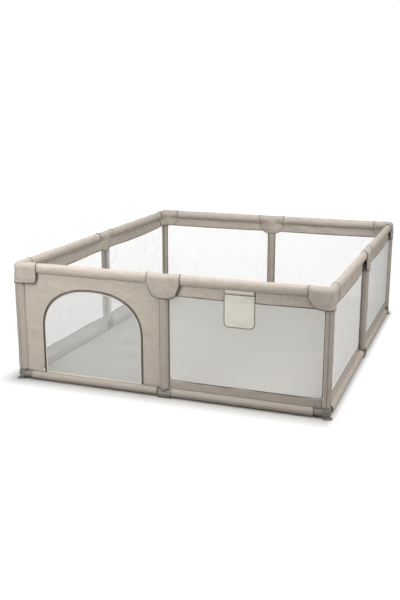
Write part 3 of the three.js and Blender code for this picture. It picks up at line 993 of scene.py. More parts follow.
class PLAYPEN_OT_rail_pads(PiecesOperator):
    """Foam-padded sleeves round the top rails, pinched into a seam underneath"""

    bl_idname = "playpen.rail_pads"
    bl_label = "Rail Pads"

    def make(self, cover, finish):
        for side, end, place, half_length, span, number in every_bay(cover):
            name = f"rail_pad_{side}_{end}"
            low, high = TEE_REACH - PAD_OVERLAP, half_length - HOOD_REACH + PAD_OVERLAP
            x, t = ring_from(bay_steps(low, high, 0.008, span), 40)
            from_bottom = turn_away(t)
            radius = 0.0028 * np.clip(1 - from_bottom / 0.75, 0, 1) ** 2
            end_gap = np.minimum(np.abs(x) - low, high - np.abs(x)) - PAD_OVERLAP
            radius -= 0.0012 * np.exp(-np.maximum(end_gap, 0) / 0.008)
            waves = cloth_waves(x, t * cover.rail_half_height, 11 + number, 0.2, 0.035)
            tight = cloth_waves(x, t * 0.004, 211 + number, 0.05, 0.012)
            radius += 0.0003 * waves + 0.0003 * tight * np.exp(-from_bottom / 0.5)
            y = (cover.rail_half_depth + radius) * np.sin(t)
            z = RAIL_Z - (cover.rail_half_height + radius) * np.cos(t)
            points, faces, corners = lattice(np.stack([x, y, z], axis=2), closed=True)
            mesh = make_mesh(name, points, faces, corners, lambda c: Vector((0, c.y, c.z - RAIL_Z)))
            seam = range(0, len(points), x.shape[1])
            blow_up(mesh, sorted(set(rim_points(mesh)) | set(seam)), 3.0, 0.0006, 0.008, 8)
            piece = place_piece(
                name, mesh, place, finish["linen"], slot="cover_linen", stands_for=[f"cover_{side}"]
            )


class PLAYPEN_OT_bands(PiecesOperator):
    """Flat bands of cloth under the top rail and over the hem, and the dark binding round each window"""

    bl_idname = "playpen.bands"
    bl_label = "Bands and Bindings"

    def make(self, cover, finish):
        for side, end, place, _, (x0, x1), number in window_bays(cover):
            for part, low, high, wave in (
                ("top", cover.top_band, BAND_TOP, 0.0016),
                ("low", cover.hem_seam - 0.001, cover.low_band, 0.0012),
            ):
                self.band(part, side, end, place, (x0, x1, low, high), wave, finish, cover, 31 + number)
            self.inner_lining(side, end, x0, x1, place, finish, cover, 31 + number)
            self.window_binding(side, end, x0, x1, place, finish, cover)

    @classmethod
    def band(cls, part, side, end, place, edges, wave, finish, cover, seed):
        x0, x1, z0, z1 = edges
        grid, uv = flat_cloth(x0, x1, z0, z1, seed + len(part), wave, hold=False)
        x, z = grid[..., 0], grid[..., 2]
        if part == "top":
            grid[..., 2] = z - cls.sag(x, x0, x1, side) * (z1 - z) / (z1 - z0)
        reach = np.clip(np.minimum(x - x0, x1 - x) / 0.02, 0, 1)
        grid[..., 1] = grid[..., 1] * reach + drawn_in(x, x0, x1, side)
        # painted shade: the low bands take the darker sleeve linen, except on the right wall, which the side light
        # reaches
        cloth = "linen" if part == "top" or side == "right" else "sleeve"
        piece = cloth_piece(
            f"{part}_band_{side}_{end}", grid, uv, place, finish[cloth], "cover_linen", stands_for=[
                f"cover_{side}"
            ]
        )
        thicken(piece, cover.cloth_thickness)

    @classmethod
    def window_binding(cls, side, end, x0, x1, place, finish, cover):
        inset = 0.0035
        outline = cls.window_outline(x0 + inset, x1 - inset, cover.low_band, cover.top_band, 0.012)
        path = [
            (
                x,
                y + drawn_in(x, x0, x1, side),
                z - (cls.sag(x, x0, x1, side) if z > RAIL_Z / 2 else 0.0),
            )
            for x, y, z in resample(outline, 0.02, True)
        ]
        name = f"window_binding_{side}_{end}"
        mesh = cord_mesh(
            name, path, flat_section(cover.binding, 0.0021), closed=True, up=(0, 0, 1), step=0.008
        )
        place_piece(name, mesh, place, finish["trim"], slot="cover_linen", stands_for=[f"cover_{side}"])

    @staticmethod
    def inner_lining(side, end, x0, x1, place, finish, cover, seed):
        """A pale lining inside the low band, which hangs over the hem down to the floor."""
        near, far = sorted((abs(x0), abs(x1)))
        low, high = max(MIDDLE_NOTCH, near), far - CORNER_NOTCH + cover.corner_sleeve
        low, high = (low, high) if x0 > 0 else (-high, -low)
        grid, uv = flat_cloth(low, high, 0.004, cover.low_band - 0.003, seed + 5, 0.0006)
        bulge = np.clip((cover.low_band - grid[..., 2]) / 0.05, 0, 1)
        drawn = drawn_in(grid[..., 0], x0, x1, side) * (1 - bulge)
        grid[..., 1] += 0.0030 + drawn + 0.0218 * bulge ** 1.3
        piece = cloth_piece(
            f"inner_lining_{side}_{end}",
            grid,
            uv,
            place,
            finish["lining"],
            "cover_linen",
            lambda _: Vector((0, 1, 0)),
            stands_for=[f"cover_{side}"],
        )
        thicken(piece, 0.0008)

    @staticmethod
    def sag(x, x0, x1, side):
        """The long side walls' cloth hangs a little between its posts."""
        depth = 0.013 if side in LONG_WALLS else 0.003
        return depth * (1 - ((x - (x0 + x1) / 2) / ((x1 - x0) / 2)) ** 2)

    @staticmethod
    def window_outline(x0, x1, z0, z1, radius):
        left, right, low, high = x0 + radius, x1 - radius, z0 + radius, z1 - radius
        path = []
        for cx, cz, start in ((right, low, -90), (right, high, 0), (left, high, 90), (left, low, 180)):
            for step in range(7):
                turn = math.radians(start + 15 * step)
                path.append((cx + radius * math.cos(turn), 0.0, cz + radius * math.sin(turn)))
        return path


class PLAYPEN_OT_nets(PiecesOperator):
    """See-through window nets between the bands"""

    bl_idname = "playpen.nets"
    bl_label = "Window Nets"

    def make(self, cover, finish):
        for side, end, place, _, (x0, x1), number in window_bays(cover):
            z0, z1 = cover.low_band - 0.004, cover.top_band + 0.004
            wave = 0.0012 if side in LONG_WALLS else 0.0022
            grid, uv = flat_cloth(x0 + 0.002, x1 - 0.002, z0, z1, 51 + number, wave, 0.016, 0.016)
            grid[..., 1] += drawn_in(grid[..., 0], x0, x1, side)
            name = f"window_net_{side}_{end}"
            piece = cloth_piece(
                name, grid, uv, place, finish["net"], "window_mesh", stands_for=[f"cover_{side}"]
            )


class PLAYPEN_OT_hems(PiecesOperator):
    """Sleeves round the bottom rails, gathered into the seam under the band"""

    bl_idname = "playpen.hems"
    bl_label = "Hems"

    def make(self, cover, finish):
        for side, end, place, half_length, span, number in every_bay(cover):
            name = f"hem_{side}_{end}"
            far_end = half_length - CORNER_NOTCH
            x, t = ring_from(bay_steps(MIDDLE_NOTCH, far_end, 0.007, span), 36)
            from_top = turn_away(t)
            # below the door the hem lies flatter, so that the opened flap clears it
            flat = 0.0014 if (side, end) == ("front", "left") else 0.0
            waves = cloth_waves(x, t * cover.hem_radius, 71 + number, 0.16, 0.03)
            gathers = cloth_waves(x, t * 0.003, 171 + number, 0.045, 0.010)
            radius = cover.hem_radius - flat + 0.0005 * waves
            radius += 0.0007 * gathers * np.exp(-(((from_top - 0.55) / 0.4) ** 2))
            pinch = np.clip(1 - from_top / 0.9, 0, 1) ** 1.5
            y = radius * np.sin(t) * (1 - 0.85 * pinch)
            z = LOW_RAIL_Z + radius * np.cos(t)
            z += pinch * (cover.hem_seam + 0.001 - 1.7 * flat - z)
            z = np.maximum(z, 0.0036)
            points, faces, corners = lattice(np.stack([x, y, z], axis=2), closed=True)
            mesh = make_mesh(name, points, faces, corners, lambda c: Vector((0, c.y, c.z - LOW_RAIL_Z)))
            # painted shade: the hems take the darker hem linen, except on the right wall, which the side light
            # reaches
            cloth = finish["linen" if side == "right" else "hem"]
            piece = place_piece(name, mesh, place, cloth, slot="cover_linen", stands_for=[f"cover_{side}"])
            thicken(piece, 0.0014, -1.0)


def sleeve_grid(half_x, half_y, low, high, seed, round_end=0.012):
    """A soft upright sleeve about Z whose lower end is drawn in."""
    zs = np.concatenate([np.linspace(low, low + round_end, 7)[:-1], even_steps(low + round_end, high, 0.010)])
    turns = np.linspace(0, 2 * math.pi, 36, endpoint=False)
    z, t = np.meshgrid(zs, turns, indexing="ij")
    drawn = 1 - 0.24 * (1 - np.clip((z - low) / round_end, 0, 1)) ** 2.2
    soft = 0.0005 * cloth_waves(t * half_x, z, seed, 0.15, 0.03)
    x = (half_x + soft) * drawn * np.cos(t)
    y = (half_y + soft) * drawn * np.sin(t)
    return np.stack([x, y, z], axis=2)


class PLAYPEN_OT_post_sleeves(PiecesOperator):
    """Padded sleeves round the eight posts, each with its closing seam"""

    bl_idname = "playpen.post_sleeves"
    bl_label = "Post Sleeves"

    def make(self, cover, finish):
        r = cover.corner_sleeve
        for corner, turn, x, y, wall in CORNERS:
            grid = sleeve_grid(r, r, 0.054, SLEEVE_TOP, 301 + turn, 0.006)
            if corner == "front_left":
                # it takes in the folded edge of the solid panel beside it
                grid[..., 0] *= np.where(grid[..., 0] > 0, 1.75, 1.1)
            seam_r = r + 0.0002
            turns = (math.radians(-79), math.radians(-171))
            seams = [(seam_r * math.cos(a), seam_r * math.sin(a)) for a in turns]
            self.sleeve(corner, grid, corner_place(turn, x, y), finish, wall, seams, 0.056)
        for side, turn, _, out, _ in SIDES:
            half = cover.middle_sleeve
            grid = sleeve_grid(half, MIDDLE_SLEEVE_HALF_DEPTH, 0.041, SLEEVE_TOP, 351 + turn, 0.016)
            seams = [(sign * half * 0.97, inside * 0.0062) for sign in (-1, 1) for inside in (-1, 1)]
            self.sleeve(f"{side}_middle", grid, wall_place(turn, out), finish, side, seams, 0.060)

    @staticmethod
    def sleeve(post, grid, place, finish, wall, seams, seam_low):
        """One post's sleeve, and its seams at the given places round it."""
        name = f"post_sleeve_{post}"
        mesh = make_mesh(name, *lattice(grid, closed=True), lambda c: Vector((c.x, c.y, 0)))
        # painted shade: every sleeve takes the darker sleeve linen, for the shade under the hoods
        piece = place_piece(
            name, mesh, place, finish["sleeve"], slot="cover_linen", stands_for=[f"cover_{wall}"]
        )
        thicken(piece, SLEEVE_WALL, -1.0)
        name = f"post_seam_{post}"
        section = round_section(SEAM_RADIUS, 6)
        cords = [
            cord_mesh(
                "seam", [(x, y, z) for z in (seam_low, 0.2, 0.4, SEAM_TOP)], section, up=(1, 0, 0), step=0.02
            )
            for x, y in seams
        ]
        place_piece(name, join_meshes(name, cords), place, finish["trim"], slot="cover_linen")


def hood_side(z, bottom, along, side, flare):
    """How far a hood's side stands from the wall's plane.

    Outside it tapers. Inside it follows the rail and then lies on the wall.
    """
    near_post = math.exp(-((along / 0.045) ** 2))
    if side < 0:
        low_half = flare - 0.010 * (1 - near_post)
        return low_half + (CROWN_HALF_DEPTH - low_half) * (z - bottom) / (RAIL_Z - bottom)
    low_half = 0.006 + 0.0175 * near_post
    round_rail = CROWN_HALF_DEPTH * math.sqrt(max(0.0, 1 - ((RAIL_Z - z) / CROWN_HALF_HEIGHT) ** 2))
    return (round_rail**6 + low_half**6) ** (1 / 6)


def hood_puff(along, length, seed, belly, height, edge):
    """How far the padding of a hood stands out at a point: its belly and its small waves."""
    waves = float(cloth_waves(np.array(along), np.array(length), seed, 0.09, 0.025))
    return height * belly * edge + 0.0005 * waves * edge


def finish_hood(name, grid, uv, place, finish, stands_for, inner_end, weld):
    """Turns a grid over a joint into a soft shell with a dark binding round its edge."""
    # the binding starts inside under the rail, goes over it, along the lower edge outside and back over
    border = np.vstack([grid[0, inner_end:0:-1], grid[:, 0], grid[-1, 1:inner_end + 1]])
    middle = Vector((0, 0, RAIL_Z - 0.03))
    mesh = make_mesh(name, *lattice(grid, uv=uv), lambda c: c - middle, weld=weld, smooth_times=3)
    blow_up(mesh, rim_points(mesh), 5.0, 0.0024, 0.012)
    piece = place_piece(name, mesh, place, finish["hood"], slot="hood_linen", stands_for=[stands_for])
    thicken(piece, 0.0035, -1.0)
    binding = cord_mesh(f"{name}_binding", border, round_section(0.0019, 8), step=0.005)
    place_piece(f"{name}_binding", binding, place, finish["trim"], slot="hood_linen")


class PLAYPEN_OT_corner_hoods(PiecesOperator):
    """Padded hoods over the four top corners, with flaps down both walls"""

    bl_idname = "playpen.corner_hoods"
    bl_label = "Corner Hoods"

    def make(self, cover, finish):
        for corner, turn, x, y, _ in CORNERS:
            grid, uv = self.grid(500 + turn, *HOOD_CUTS[corner])
            place = corner_place(turn, x, y)
            finish_hood(f"corner_hood_{corner}", grid, uv, place, finish, f"joint_hood_{corner}", 36, 1e-4)

    @staticmethod
    def grid(seed, flare, x_cut, y_cut, flap_rows=12, crown_rows=20, arm_columns=20, turn_columns=10):
        half, rise_r = CROWN_HALF_DEPTH, CROWN_HALF_HEIGHT
        sections = [(-1, k / flap_rows, None) for k in range(flap_rows)]
        sections += [(0, None, -math.pi / 2 + math.pi * k / crown_rows) for k in range(crown_rows + 1)]
        sections += [(1, 1 - (k + 1) / flap_rows, None) for k in range(flap_rows)]
        grid, uv = [], []
        for i in range(2 * arm_columns + turn_columns + 1):
            on_x, on_y = i <= arm_columns, i >= arm_columns + turn_columns
            reach, start, rise, power = y_cut if i > arm_columns + turn_columns // 2 else x_cut
            row, row_uv = [], []
            for side, share, over in sections:
                # how far this point is along its wall, then its height, then how far it stands off the wall
                top_w = half * (math.sin(over) if side == 0 else side)
                fillet = 0.0 if top_w < 0 else min(0.014, 0.5 * top_w)
                base = max(top_w, 0.0) + fillet
                if on_x:
                    a = reach + (base - reach) * i / arm_columns
                elif on_y:
                    a = base + (reach - base) * (i - arm_columns - turn_columns) / arm_columns
                else:
                    a = base
                low = HOOD_BOTTOM + rise * min(1.0, max(0.0, (a - start) / (reach - start))) ** power
                if side == 0:
                    w, z = top_w, RAIL_Z + rise_r * math.cos(over)
                    length, belly = rise_r * over, 0.35
                else:
                    z = low + (RAIL_Z - low) * share
                    w = side * hood_side(z, HOOD_BOTTOM, a, side, flare)
                    length, belly = side * (rise_r * math.pi / 2 + RAIL_Z - z), math.sin(
                        math.pi * min(1.0, share * 1.1)
                    )
                if on_x:
                    px, py = a, w
                elif on_y:
                    px, py = w, a
                else:
                    psi = math.pi / 2 * (i - arm_columns) / turn_columns
                    if w < 0:
                        px, py = w * math.sin(psi), w * math.cos(psi)
                    else:
                        px, py = w + fillet * (1 - math.sin(psi)), w + fillet * (1 - math.cos(psi))
                if on_x:
                    far = reach - a
                elif on_y:
                    far = reach + half + a
                else:
                    far = reach + half * (i - arm_columns) / turn_columns
                edge = min(1.0, max(0.0, (reach - a) / 0.03))
                puff = hood_puff(far, length, seed, belly, 0.0010, edge)
                push = Vector((0.0, w, 0.0)) if on_x else Vector((w, 0.0, 0.0)) if on_y else Vector(
                    (px, py, 0.0)
                )
                if side == 0:
                    push.z = z - RAIL_Z
                if push.length > 1e-6:
                    push.normalize()
                row.append((px + push.x * puff, py + push.y * puff, z + push.z * puff))
                row_uv.append((far, length))
            grid.append(row)
            uv.append(row_uv)
        return np.array(grid), np.array(uv)


class PLAYPEN_OT_middle_hoods(PiecesOperator):
    """Shield-shaped padded hoods over the middle joints"""

    bl_idname = "playpen.middle_hoods"
    bl_label = "Middle Hoods"

    def make(self, cover, finish):
        for side, turn, _, out, _ in SIDES:
            grid, uv = self.grid(600 + turn)
            stands_for = f"joint_hood_{side}_middle"
            finish_hood(f"middle_hood_{side}", grid, uv, wall_place(turn, out), finish, stands_for, 38, 0.0)

    @staticmethod
    def lower_edge(x, shoulder, waist, waist_height):
        x = abs(x)
        if x <= waist:
            return TEE_BOTTOM + (waist_height - TEE_BOTTOM) * (x / waist) ** 4.5
        return waist_height + (shoulder - waist_height) * (x - waist) / (TEE_REACH - waist)

    @classmethod
    def grid(cls, seed, flap_rows=14, crown_rows=20, low_half=0.0252):
        shoulder, waist, waist_height = CROWN - 0.055, 0.069, CROWN - 0.106
        xs = np.concatenate(
            [
                np.linspace(-TEE_REACH, -waist, 9)[:-1],
                np.linspace(-waist, waist, 37),
                np.linspace(waist, TEE_REACH, 9)[1:],
            ]
        )
        grid, uv = [], []
        for x in xs:
            low = cls.lower_edge(x, shoulder, waist, waist_height)
            row, row_uv = [], []
            edge = min(1.0, (TEE_REACH - abs(x)) / 0.03)
            for side in (-1, 0, 1):
                count = crown_rows + 1 if side == 0 else flap_rows
                for k in range(count):
                    if side == 0:
                        over = -math.pi / 2 + math.pi * k / crown_rows
                        w, z = CROWN_HALF_DEPTH * math.sin(over), RAIL_Z + CROWN_HALF_HEIGHT * math.cos(over)
                        length = CROWN_HALF_HEIGHT * over
                        push = Vector((0, math.sin(over), math.cos(over)))
                        belly = 0.35
                    else:
                        share = k / flap_rows if side < 0 else 1 - (k + 1) / flap_rows
                        z = low + (RAIL_Z - low) * share
                        w = side * hood_side(z, TEE_BOTTOM, x, side, low_half)
                        length = side * (CROWN_HALF_HEIGHT * math.pi / 2 + RAIL_Z - z)
                        push = Vector((0, side, 0))
                        belly = math.sin(math.pi * min(1.0, share * 1.1))
                    puff = hood_puff(x, length, seed, belly, 0.0012, edge)
                    row.append((x, w + push.y * puff, z + push.z * puff))
                    row_uv.append((x, length))
            grid.append(row)
            uv.append(row_uv)
        return np.array(grid), np.array(uv)


class PLAYPEN_OT_doorway(PiecesOperator):
    """The solid bay with its arched doorway, the zip and the net door that rides on the door's body"""

    bl_idname = "playpen.doorway"
    bl_label = "Doorway"

    def make(self, cover, finish):
        place = wall_place(0, POST_Y)
        self.panel(place, finish, cover)
        low = DOOR_LOW.z + 0.001
        # the zip: one tape and row of teeth on the wall, the other on the door
        for name, near, far, teeth, body in (
            ("zip_on_wall", -0.0058, 0.0, -0.0012, "frame"),
            ("zip_on_door", 0.0010, 0.0062, 0.0016, "door"),
        ):
            tape = make_mesh(name, *self.ribbon(near, far, low, cover, -0.0021), outward_wall)
            line = [(x, -0.0024, z) for x, z in arch_line(teeth, low, cover)]
            row = cord_mesh("teeth", line, round_section(0.0011, 6), up=(0, -1, 0), step=0.005)
            place_piece(
                name, join_meshes(name, [tape, row]), place, finish["zip"], body=body, slot="zip_trim"
            )
        self.door(place, finish, cover, low)

    @classmethod
    def panel(cls, place, finish, cover):
        """The solid cloth of the bay, in rings from the arch out to the bay's edges."""
        x0, x1 = wall_bays(POST_X, cover)[0]
        z0, z1 = cover.hem_seam - 0.0030, BAND_TOP
        inner = arch_line(-0.0005, z0, cover)
        outer = cls.outer_edge(inner, x0, x1, z0, z1, cover.door_spring)
        share = np.linspace(0, 1, 14)[None, :]
        flat = inner[:, None, :] * (1 - share)[..., None] + outer[:, None, :] * share[..., None]
        y = 0.0016 * cloth_waves(flat[..., 0], flat[..., 1], 83) * np.sin(math.pi * share) ** 1.4
        grid = np.stack([flat[..., 0], y, flat[..., 1]], axis=2)
        piece = cloth_piece(
            "doorway_panel", grid, flat, place, finish["linen"], "cover_linen", stands_for=["cover_front"]
        )
        thicken(piece, cover.cloth_thickness)

    @classmethod
    def door(cls, place, finish, cover, low):
        """The net door and the pale strip round it."""
        centre, half = (DOOR_LOW.x + DOOR_HIGH.x) / 2, (DOOR_HIGH.x - DOOR_LOW.x) / 2 - 0.0012
        turns = np.linspace(math.pi, 0, 60)
        c = np.cos(turns)
        xs = centre + half * np.sign(c) * np.abs(c) ** (2 / cover.arch_power)
        s = np.abs(np.sin(turns)) ** (2 / cover.arch_power)
        tops = cover.door_spring + (DOOR_HIGH.z - 0.0012 - cover.door_spring) * s
        lift = np.linspace(0, 1, 34)
        x = np.repeat(xs[:, None], len(lift), axis=1)
        z = DOOR_LOW.z + (tops[:, None] - DOOR_LOW.z) * lift[None, :]
        y = 0.0020 * cloth_waves(x, z, 87) * np.sin(math.pi * lift)[None, :] * (s[:, None] ** 0.5)
        net = cloth_piece(
            "door_net",
            np.stack([x, y, z], axis=2),
            np.stack([x, z], axis=2),
            place,
            finish["door_net"],
            "window_mesh",
            weld=1e-5,
            body="door",
            stands_for=["door_panel"],
        )
        strip = make_mesh("door_binding", *cls.ribbon(0.0062, 0.0105, low, cover, -0.0016), outward_wall)
        ends = [(centre + side * (half - 0.008), -0.0006, DOOR_LOW.z + 0.0028) for side in (-1, 1)]
        sill = cord_mesh("sill", ends, flat_section(0.0024, 0.0012), up=(0, 0, 1), step=0.02)
        mesh = join_meshes("door_binding", [strip, sill])
        place_piece("door_binding", mesh, place, finish["cream"], body="door", slot="pull_cream")

    @staticmethod
    def outer_edge(inner, x0, x1, z0, z1, leg_top):
        """A point on the bay's rectangle for each point of the arch. The legs take the lower part of its sides."""
        centre = (inner[0][0] + inner[-1][0]) / 2
        side_top = z0 + (z1 - z0) * 0.62
        rest = z1 - side_top
        total = 2 * rest + x1 - x0
        above = [k for k, (_, z) in enumerate(inner) if z >= leg_top]
        out = []
        for k, (x, z) in enumerate(inner):
            if z < leg_top:
                out.append((x0 if x < centre else x1, z0 + (z - z0) * (side_top - z0) / (leg_top - z0)))
                continue
            d = total * (k - above[0] + 0.5) / len(above)
            if d < rest:
                out.append((x0, side_top + d))
            elif d < rest + x1 - x0:
                out.append((x0 + d - rest, z1))
            else:
                out.append((x1, z1 - (d - rest - (x1 - x0))))
        return np.array(out)

    @staticmethod
    def ribbon(inset_a, inset_b, low, cover, y, across=4, thickness=0.0009):
        lines = [arch_line(inset_a + (inset_b - inset_a) * k / across, low, cover) for k in range(across + 1)]
        flat = np.stack(lines, axis=1)
        bow = np.sin(math.pi * np.linspace(0, 1, across + 1)) * 0.0004
        grid = np.stack([flat[..., 0], np.broadcast_to(y - bow, flat.shape[:2]), flat[..., 1]], axis=2)
        back = grid[:, ::-1].copy()
        back[..., 1] = y + thickness
        whole = np.concatenate([grid, back], axis=1)
        return lattice(whole, closed=True)


class PLAYPEN_OT_pocket(PiecesOperator):
    """The hanging net pocket with its dark outline and pale facing"""

    bl_idname = "playpen.pocket"
    bl_label = "Pocket"

    def make(self, cover, finish):
        place = Matrix.Identity(4)
        bottom, top = POCKET_LOW.z, POCKET_HIGH.z
        centre, half = (POCKET_LOW.x + POCKET_HIGH.x) / 2, (POCKET_HIGH.x - POCKET_LOW.x) / 2
        back_y, r = -POST_Y - 0.0030, 0.025
        u, v = np.meshgrid(np.linspace(-1, 1, 25), np.linspace(0, 1, 29), indexing="ij")
        x = half * u
        inside = np.clip(np.abs(x) - (half - r), 0, r)
        low_edge = bottom + r - np.sqrt(np.maximum(0, r**2 - inside**2))
        for name, high in (("pocket_front", POCKET_MOUTH), ("pocket_back", top)):
            z = low_edge + (high - low_edge) * v
            belly = (1 - u**2) * (0.35 + 0.65 * np.sqrt(v)) * np.minimum(1, v * 4)
            y = back_y - 0.0006 - POCKET_BULGE * belly - 0.0006 * cloth_waves(x, z, 91, 0.1, 0.03) * belly
            if name == "pocket_back":
                y = np.full(x.shape, back_y + 0.0008)
            grid, uv = np.stack([centre + x, y, z], axis=2), np.stack([x, z], axis=2)
            piece = cloth_piece(name, grid, uv, place, finish["pocket"], "pocket_mesh", stands_for=["pocket"])
        # pale facing above the mouth
        xs, zs = even_steps(-half + 0.001, half - 0.001, 0.01), even_steps(POCKET_MOUTH + 0.002, top, 0.005)
        x, z = np.meshgrid(xs, zs, indexing="ij")
        grid = np.stack([centre + x, np.full(x.shape, back_y + 0.0001), z], axis=2)
        uv = np.stack([x, z], axis=2)
        piece = cloth_piece("pocket_facing", grid, uv, place, finish["cream"], "pocket_mesh")
        thicken(piece, 0.0010)
        # dark outline and mouth
        bends = [(math.cos(math.radians(a)), math.sin(math.radians(a))) for a in range(10, 90, 10)]
        outline = [(-half, top), (-half, bottom + r)]
        outline += [(-half + r - r * c, bottom + r - r * s) for c, s in bends]
        outline += [(-half + r, bottom), (half - r, bottom)]
        outline += [(half - r + r * s, bottom + r - r * c) for c, s in bends]
        outline += [(half, bottom + r), (half, top)]
        edge = [(centre + x, back_y - 0.0004, z) for x, z in outline]
        rim = [
            (centre + half * t, back_y - 0.0008 - POCKET_BULGE * (1 - t * t), POCKET_MOUTH)
            for t in np.linspace(-1, 1, 21)
        ]
        meshes = [
            cord_mesh("edge", edge, flat_section(0.0019, 0.0013), up=(1, 0, 0), step=0.006),
            cord_mesh("rim", rim, flat_section(0.0017, 0.0011), up=(0, 0, 1), step=0.006),
        ]
        mesh = join_meshes("pocket_binding", meshes)
        place_piece("pocket_binding", mesh, place, finish["trim"], slot="cover_linen")


def tube_mesh(name, start, end, radius, edge=0.0015, sides=28):
    """A round bar with softened ends between two points."""
    start, end = Vector(start), Vector(end)
    length = (end - start).length
    profile = rounded_profile([(0, 0), (radius, 0), (radius, length), (0, length)], edge)
    mesh = lathe_mesh(name, profile, sides)
    mesh.transform(Matrix.Translation(start) @ (end - start).to_track_quat("Z", "Y").to_matrix().to_4x4())
    return mesh


class PLAYPEN_OT_feet(PiecesOperator):
    """Corner connectors with their suction cups, and the low middle feet"""

    bl_idname = "playpen.feet"
    bl_label = "Feet"

    # half sections of the corner foot's body and of its cup: radius and height
    BODY = (
        (0, 0.0113),
        (0.0225, 0.0113),
        (0.0230, 0.030),
        (0.0225, FOOT_TOP),
        (0.0150, FOOT_TOP + 0.001),
        (0, FOOT_TOP + 0.001),
    )
    CUP = (
        (0, 0.0040),
        (0.010, 0.0034),
        (0.017, 0.0018),
        (0.0205, 0.0002),
        (0.0258, 0.0),
        (0.0262, 0.0008),
        (0.0255, 0.0018),
        (0.0215, 0.0034),
        (0.0200, 0.0046),
        (0.0175, 0.0052),
        (0.0155, 0.0064),
        (0.0120, 0.0076),
        (0.0098, 0.0092),
        (0.0088, 0.0107),
        (0.0049, 0.0108),
        (0.0049, 0.0186),
        (0, 0.0187),
    )

    def make(self, cover, finish):
        for corner, turn, x, y, _ in CORNERS:
            name = f"foot_connector_{corner}"
            mesh = join_meshes(name, self.connector_parts())
            place_piece(
                name,
                mesh,
                corner_place(turn, x, y),
                finish["plastic"],
                slot="foot_plastic",
                stands_for=[f"foot_{corner}"],
            )
            low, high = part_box(f"suction_cup_{corner}")
            name = f"cup_{corner}"
            place_piece(
                name,
                lathe_mesh(name, self.CUP, 48, ((low + high) / 2)[:2]),
                Matrix.Identity(4),
                finish["rubber"],
                slot="cup_rubber",
                stands_for=[f"suction_cup_{corner}"],
            )
        for side, turn, _, out, _ in SIDES:
            name = f"middle_foot_{side}"
            axis = (0, 0, LOW_RAIL_Z)
            ends = ((-0.045, 0, LOW_RAIL_Z), (0.045, 0, LOW_RAIL_Z), (0, 0, LOW_RAIL_Z + 0.045))
            meshes = [self.block_mesh(0.038, 0.023, 0.0, 0.028, 0.0075)]
            meshes += [tube_mesh("arm", axis, end, SPIGOT_RADIUS) for end in ends]
            place_piece(
                name,
                join_meshes(name, meshes),
                wall_place(turn, out),
                finish["plastic"],
                slot="foot_plastic",
                stands_for=[f"foot_{side}_middle"],
            )

    @classmethod
    def connector_parts(cls):
        """A corner foot: its body, two arms along the walls, one up into the post, ribs and a cap."""
        axis = (0, 0, LOW_RAIL_Z)
        meshes = [lathe_mesh("body", rounded_profile(cls.BODY, 0.0055, 6), 48)]
        meshes.append(tube_mesh("arm", axis, (FOOT_REACH, 0, LOW_RAIL_Z), FOOT_ARM_RADIUS, 0.005))
        meshes.append(tube_mesh("arm", axis, (0, FOOT_REACH, LOW_RAIL_Z), FOOT_ARM_RADIUS, 0.005))
        meshes.append(tube_mesh("arm", axis, (0, 0, LOW_RAIL_Z + FOOT_REACH), SPIGOT_RADIUS))
        for near in (0.034, 0.046):
            far = near + 0.0035
            for start, end in (((near, 0), (far, 0)), ((0, near), (0, far))):
                ring = ((*start, LOW_RAIL_Z), (*end, LOW_RAIL_Z))
                meshes.append(tube_mesh("rib", *ring, FOOT_ARM_RADIUS + 0.001, 0.001))
        meshes.append(
            tube_mesh("cap", (-0.0130, -0.0130, 0.031), (-0.0178, -0.0178, 0.031), 0.0062, 0.0012, 20)
        )
        return meshes

    @staticmethod
    def block_mesh(half_x, half_y, low, high, edge):
        bm = bmesh.new()
        bmesh.ops.create_cube(bm, size=1.0)
        for v in bm.verts:
            v.co = Vector((v.co.x * 2 * half_x, v.co.y * 2 * half_y, low + (v.co.z + 0.5) * (high - low)))
        upright = [e for e in bm.edges if abs(e.verts[0].co.z - e.verts[1].co.z) > 1e-6]
        upper = [e for e in bm.edges if min(e.verts[0].co.z, e.verts[1].co.z) > high - 1e-6]
        bmesh.ops.bevel(bm, geom=upright + upper, offset=edge, segments=5, profile=0.5, affect="EDGES")
        for face in bm.faces:
            face.smooth = True
        mesh = bpy.data.meshes.new("block")
        layer = bm.loops.layers.uv.new("UVMap")
        for face in bm.faces:
            for loop in face.loops:
                loop[layer].uv = (loop.vert.co.x, loop.vert.co.z)
        bm.to_mesh(mesh)
        bm.free()
        return mesh


class PLAYPEN_OT_hardware(PiecesOperator):
    """Finishes for the tubes, connectors, slider and pull that stay as they are"""

    bl_idname = "playpen.hardware"
    bl_label = "Hardware Finishes"

    def make(self, cover, finish):
        for name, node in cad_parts.items():
            if node.hide_render:
                continue
            if name.startswith(("top_rail", "bottom_rail", "post_")):
                material = finish["steel"]
            elif name == "zip_slider":
                material = finish["slider"]
            elif name == "zip_pull":
                material = finish["pull"]
            else:
                material = finish["joint"]
            for slot in node.material_slots:
                slot.material = material
            if not node.material_slots:
                node.data.materials.append(material)


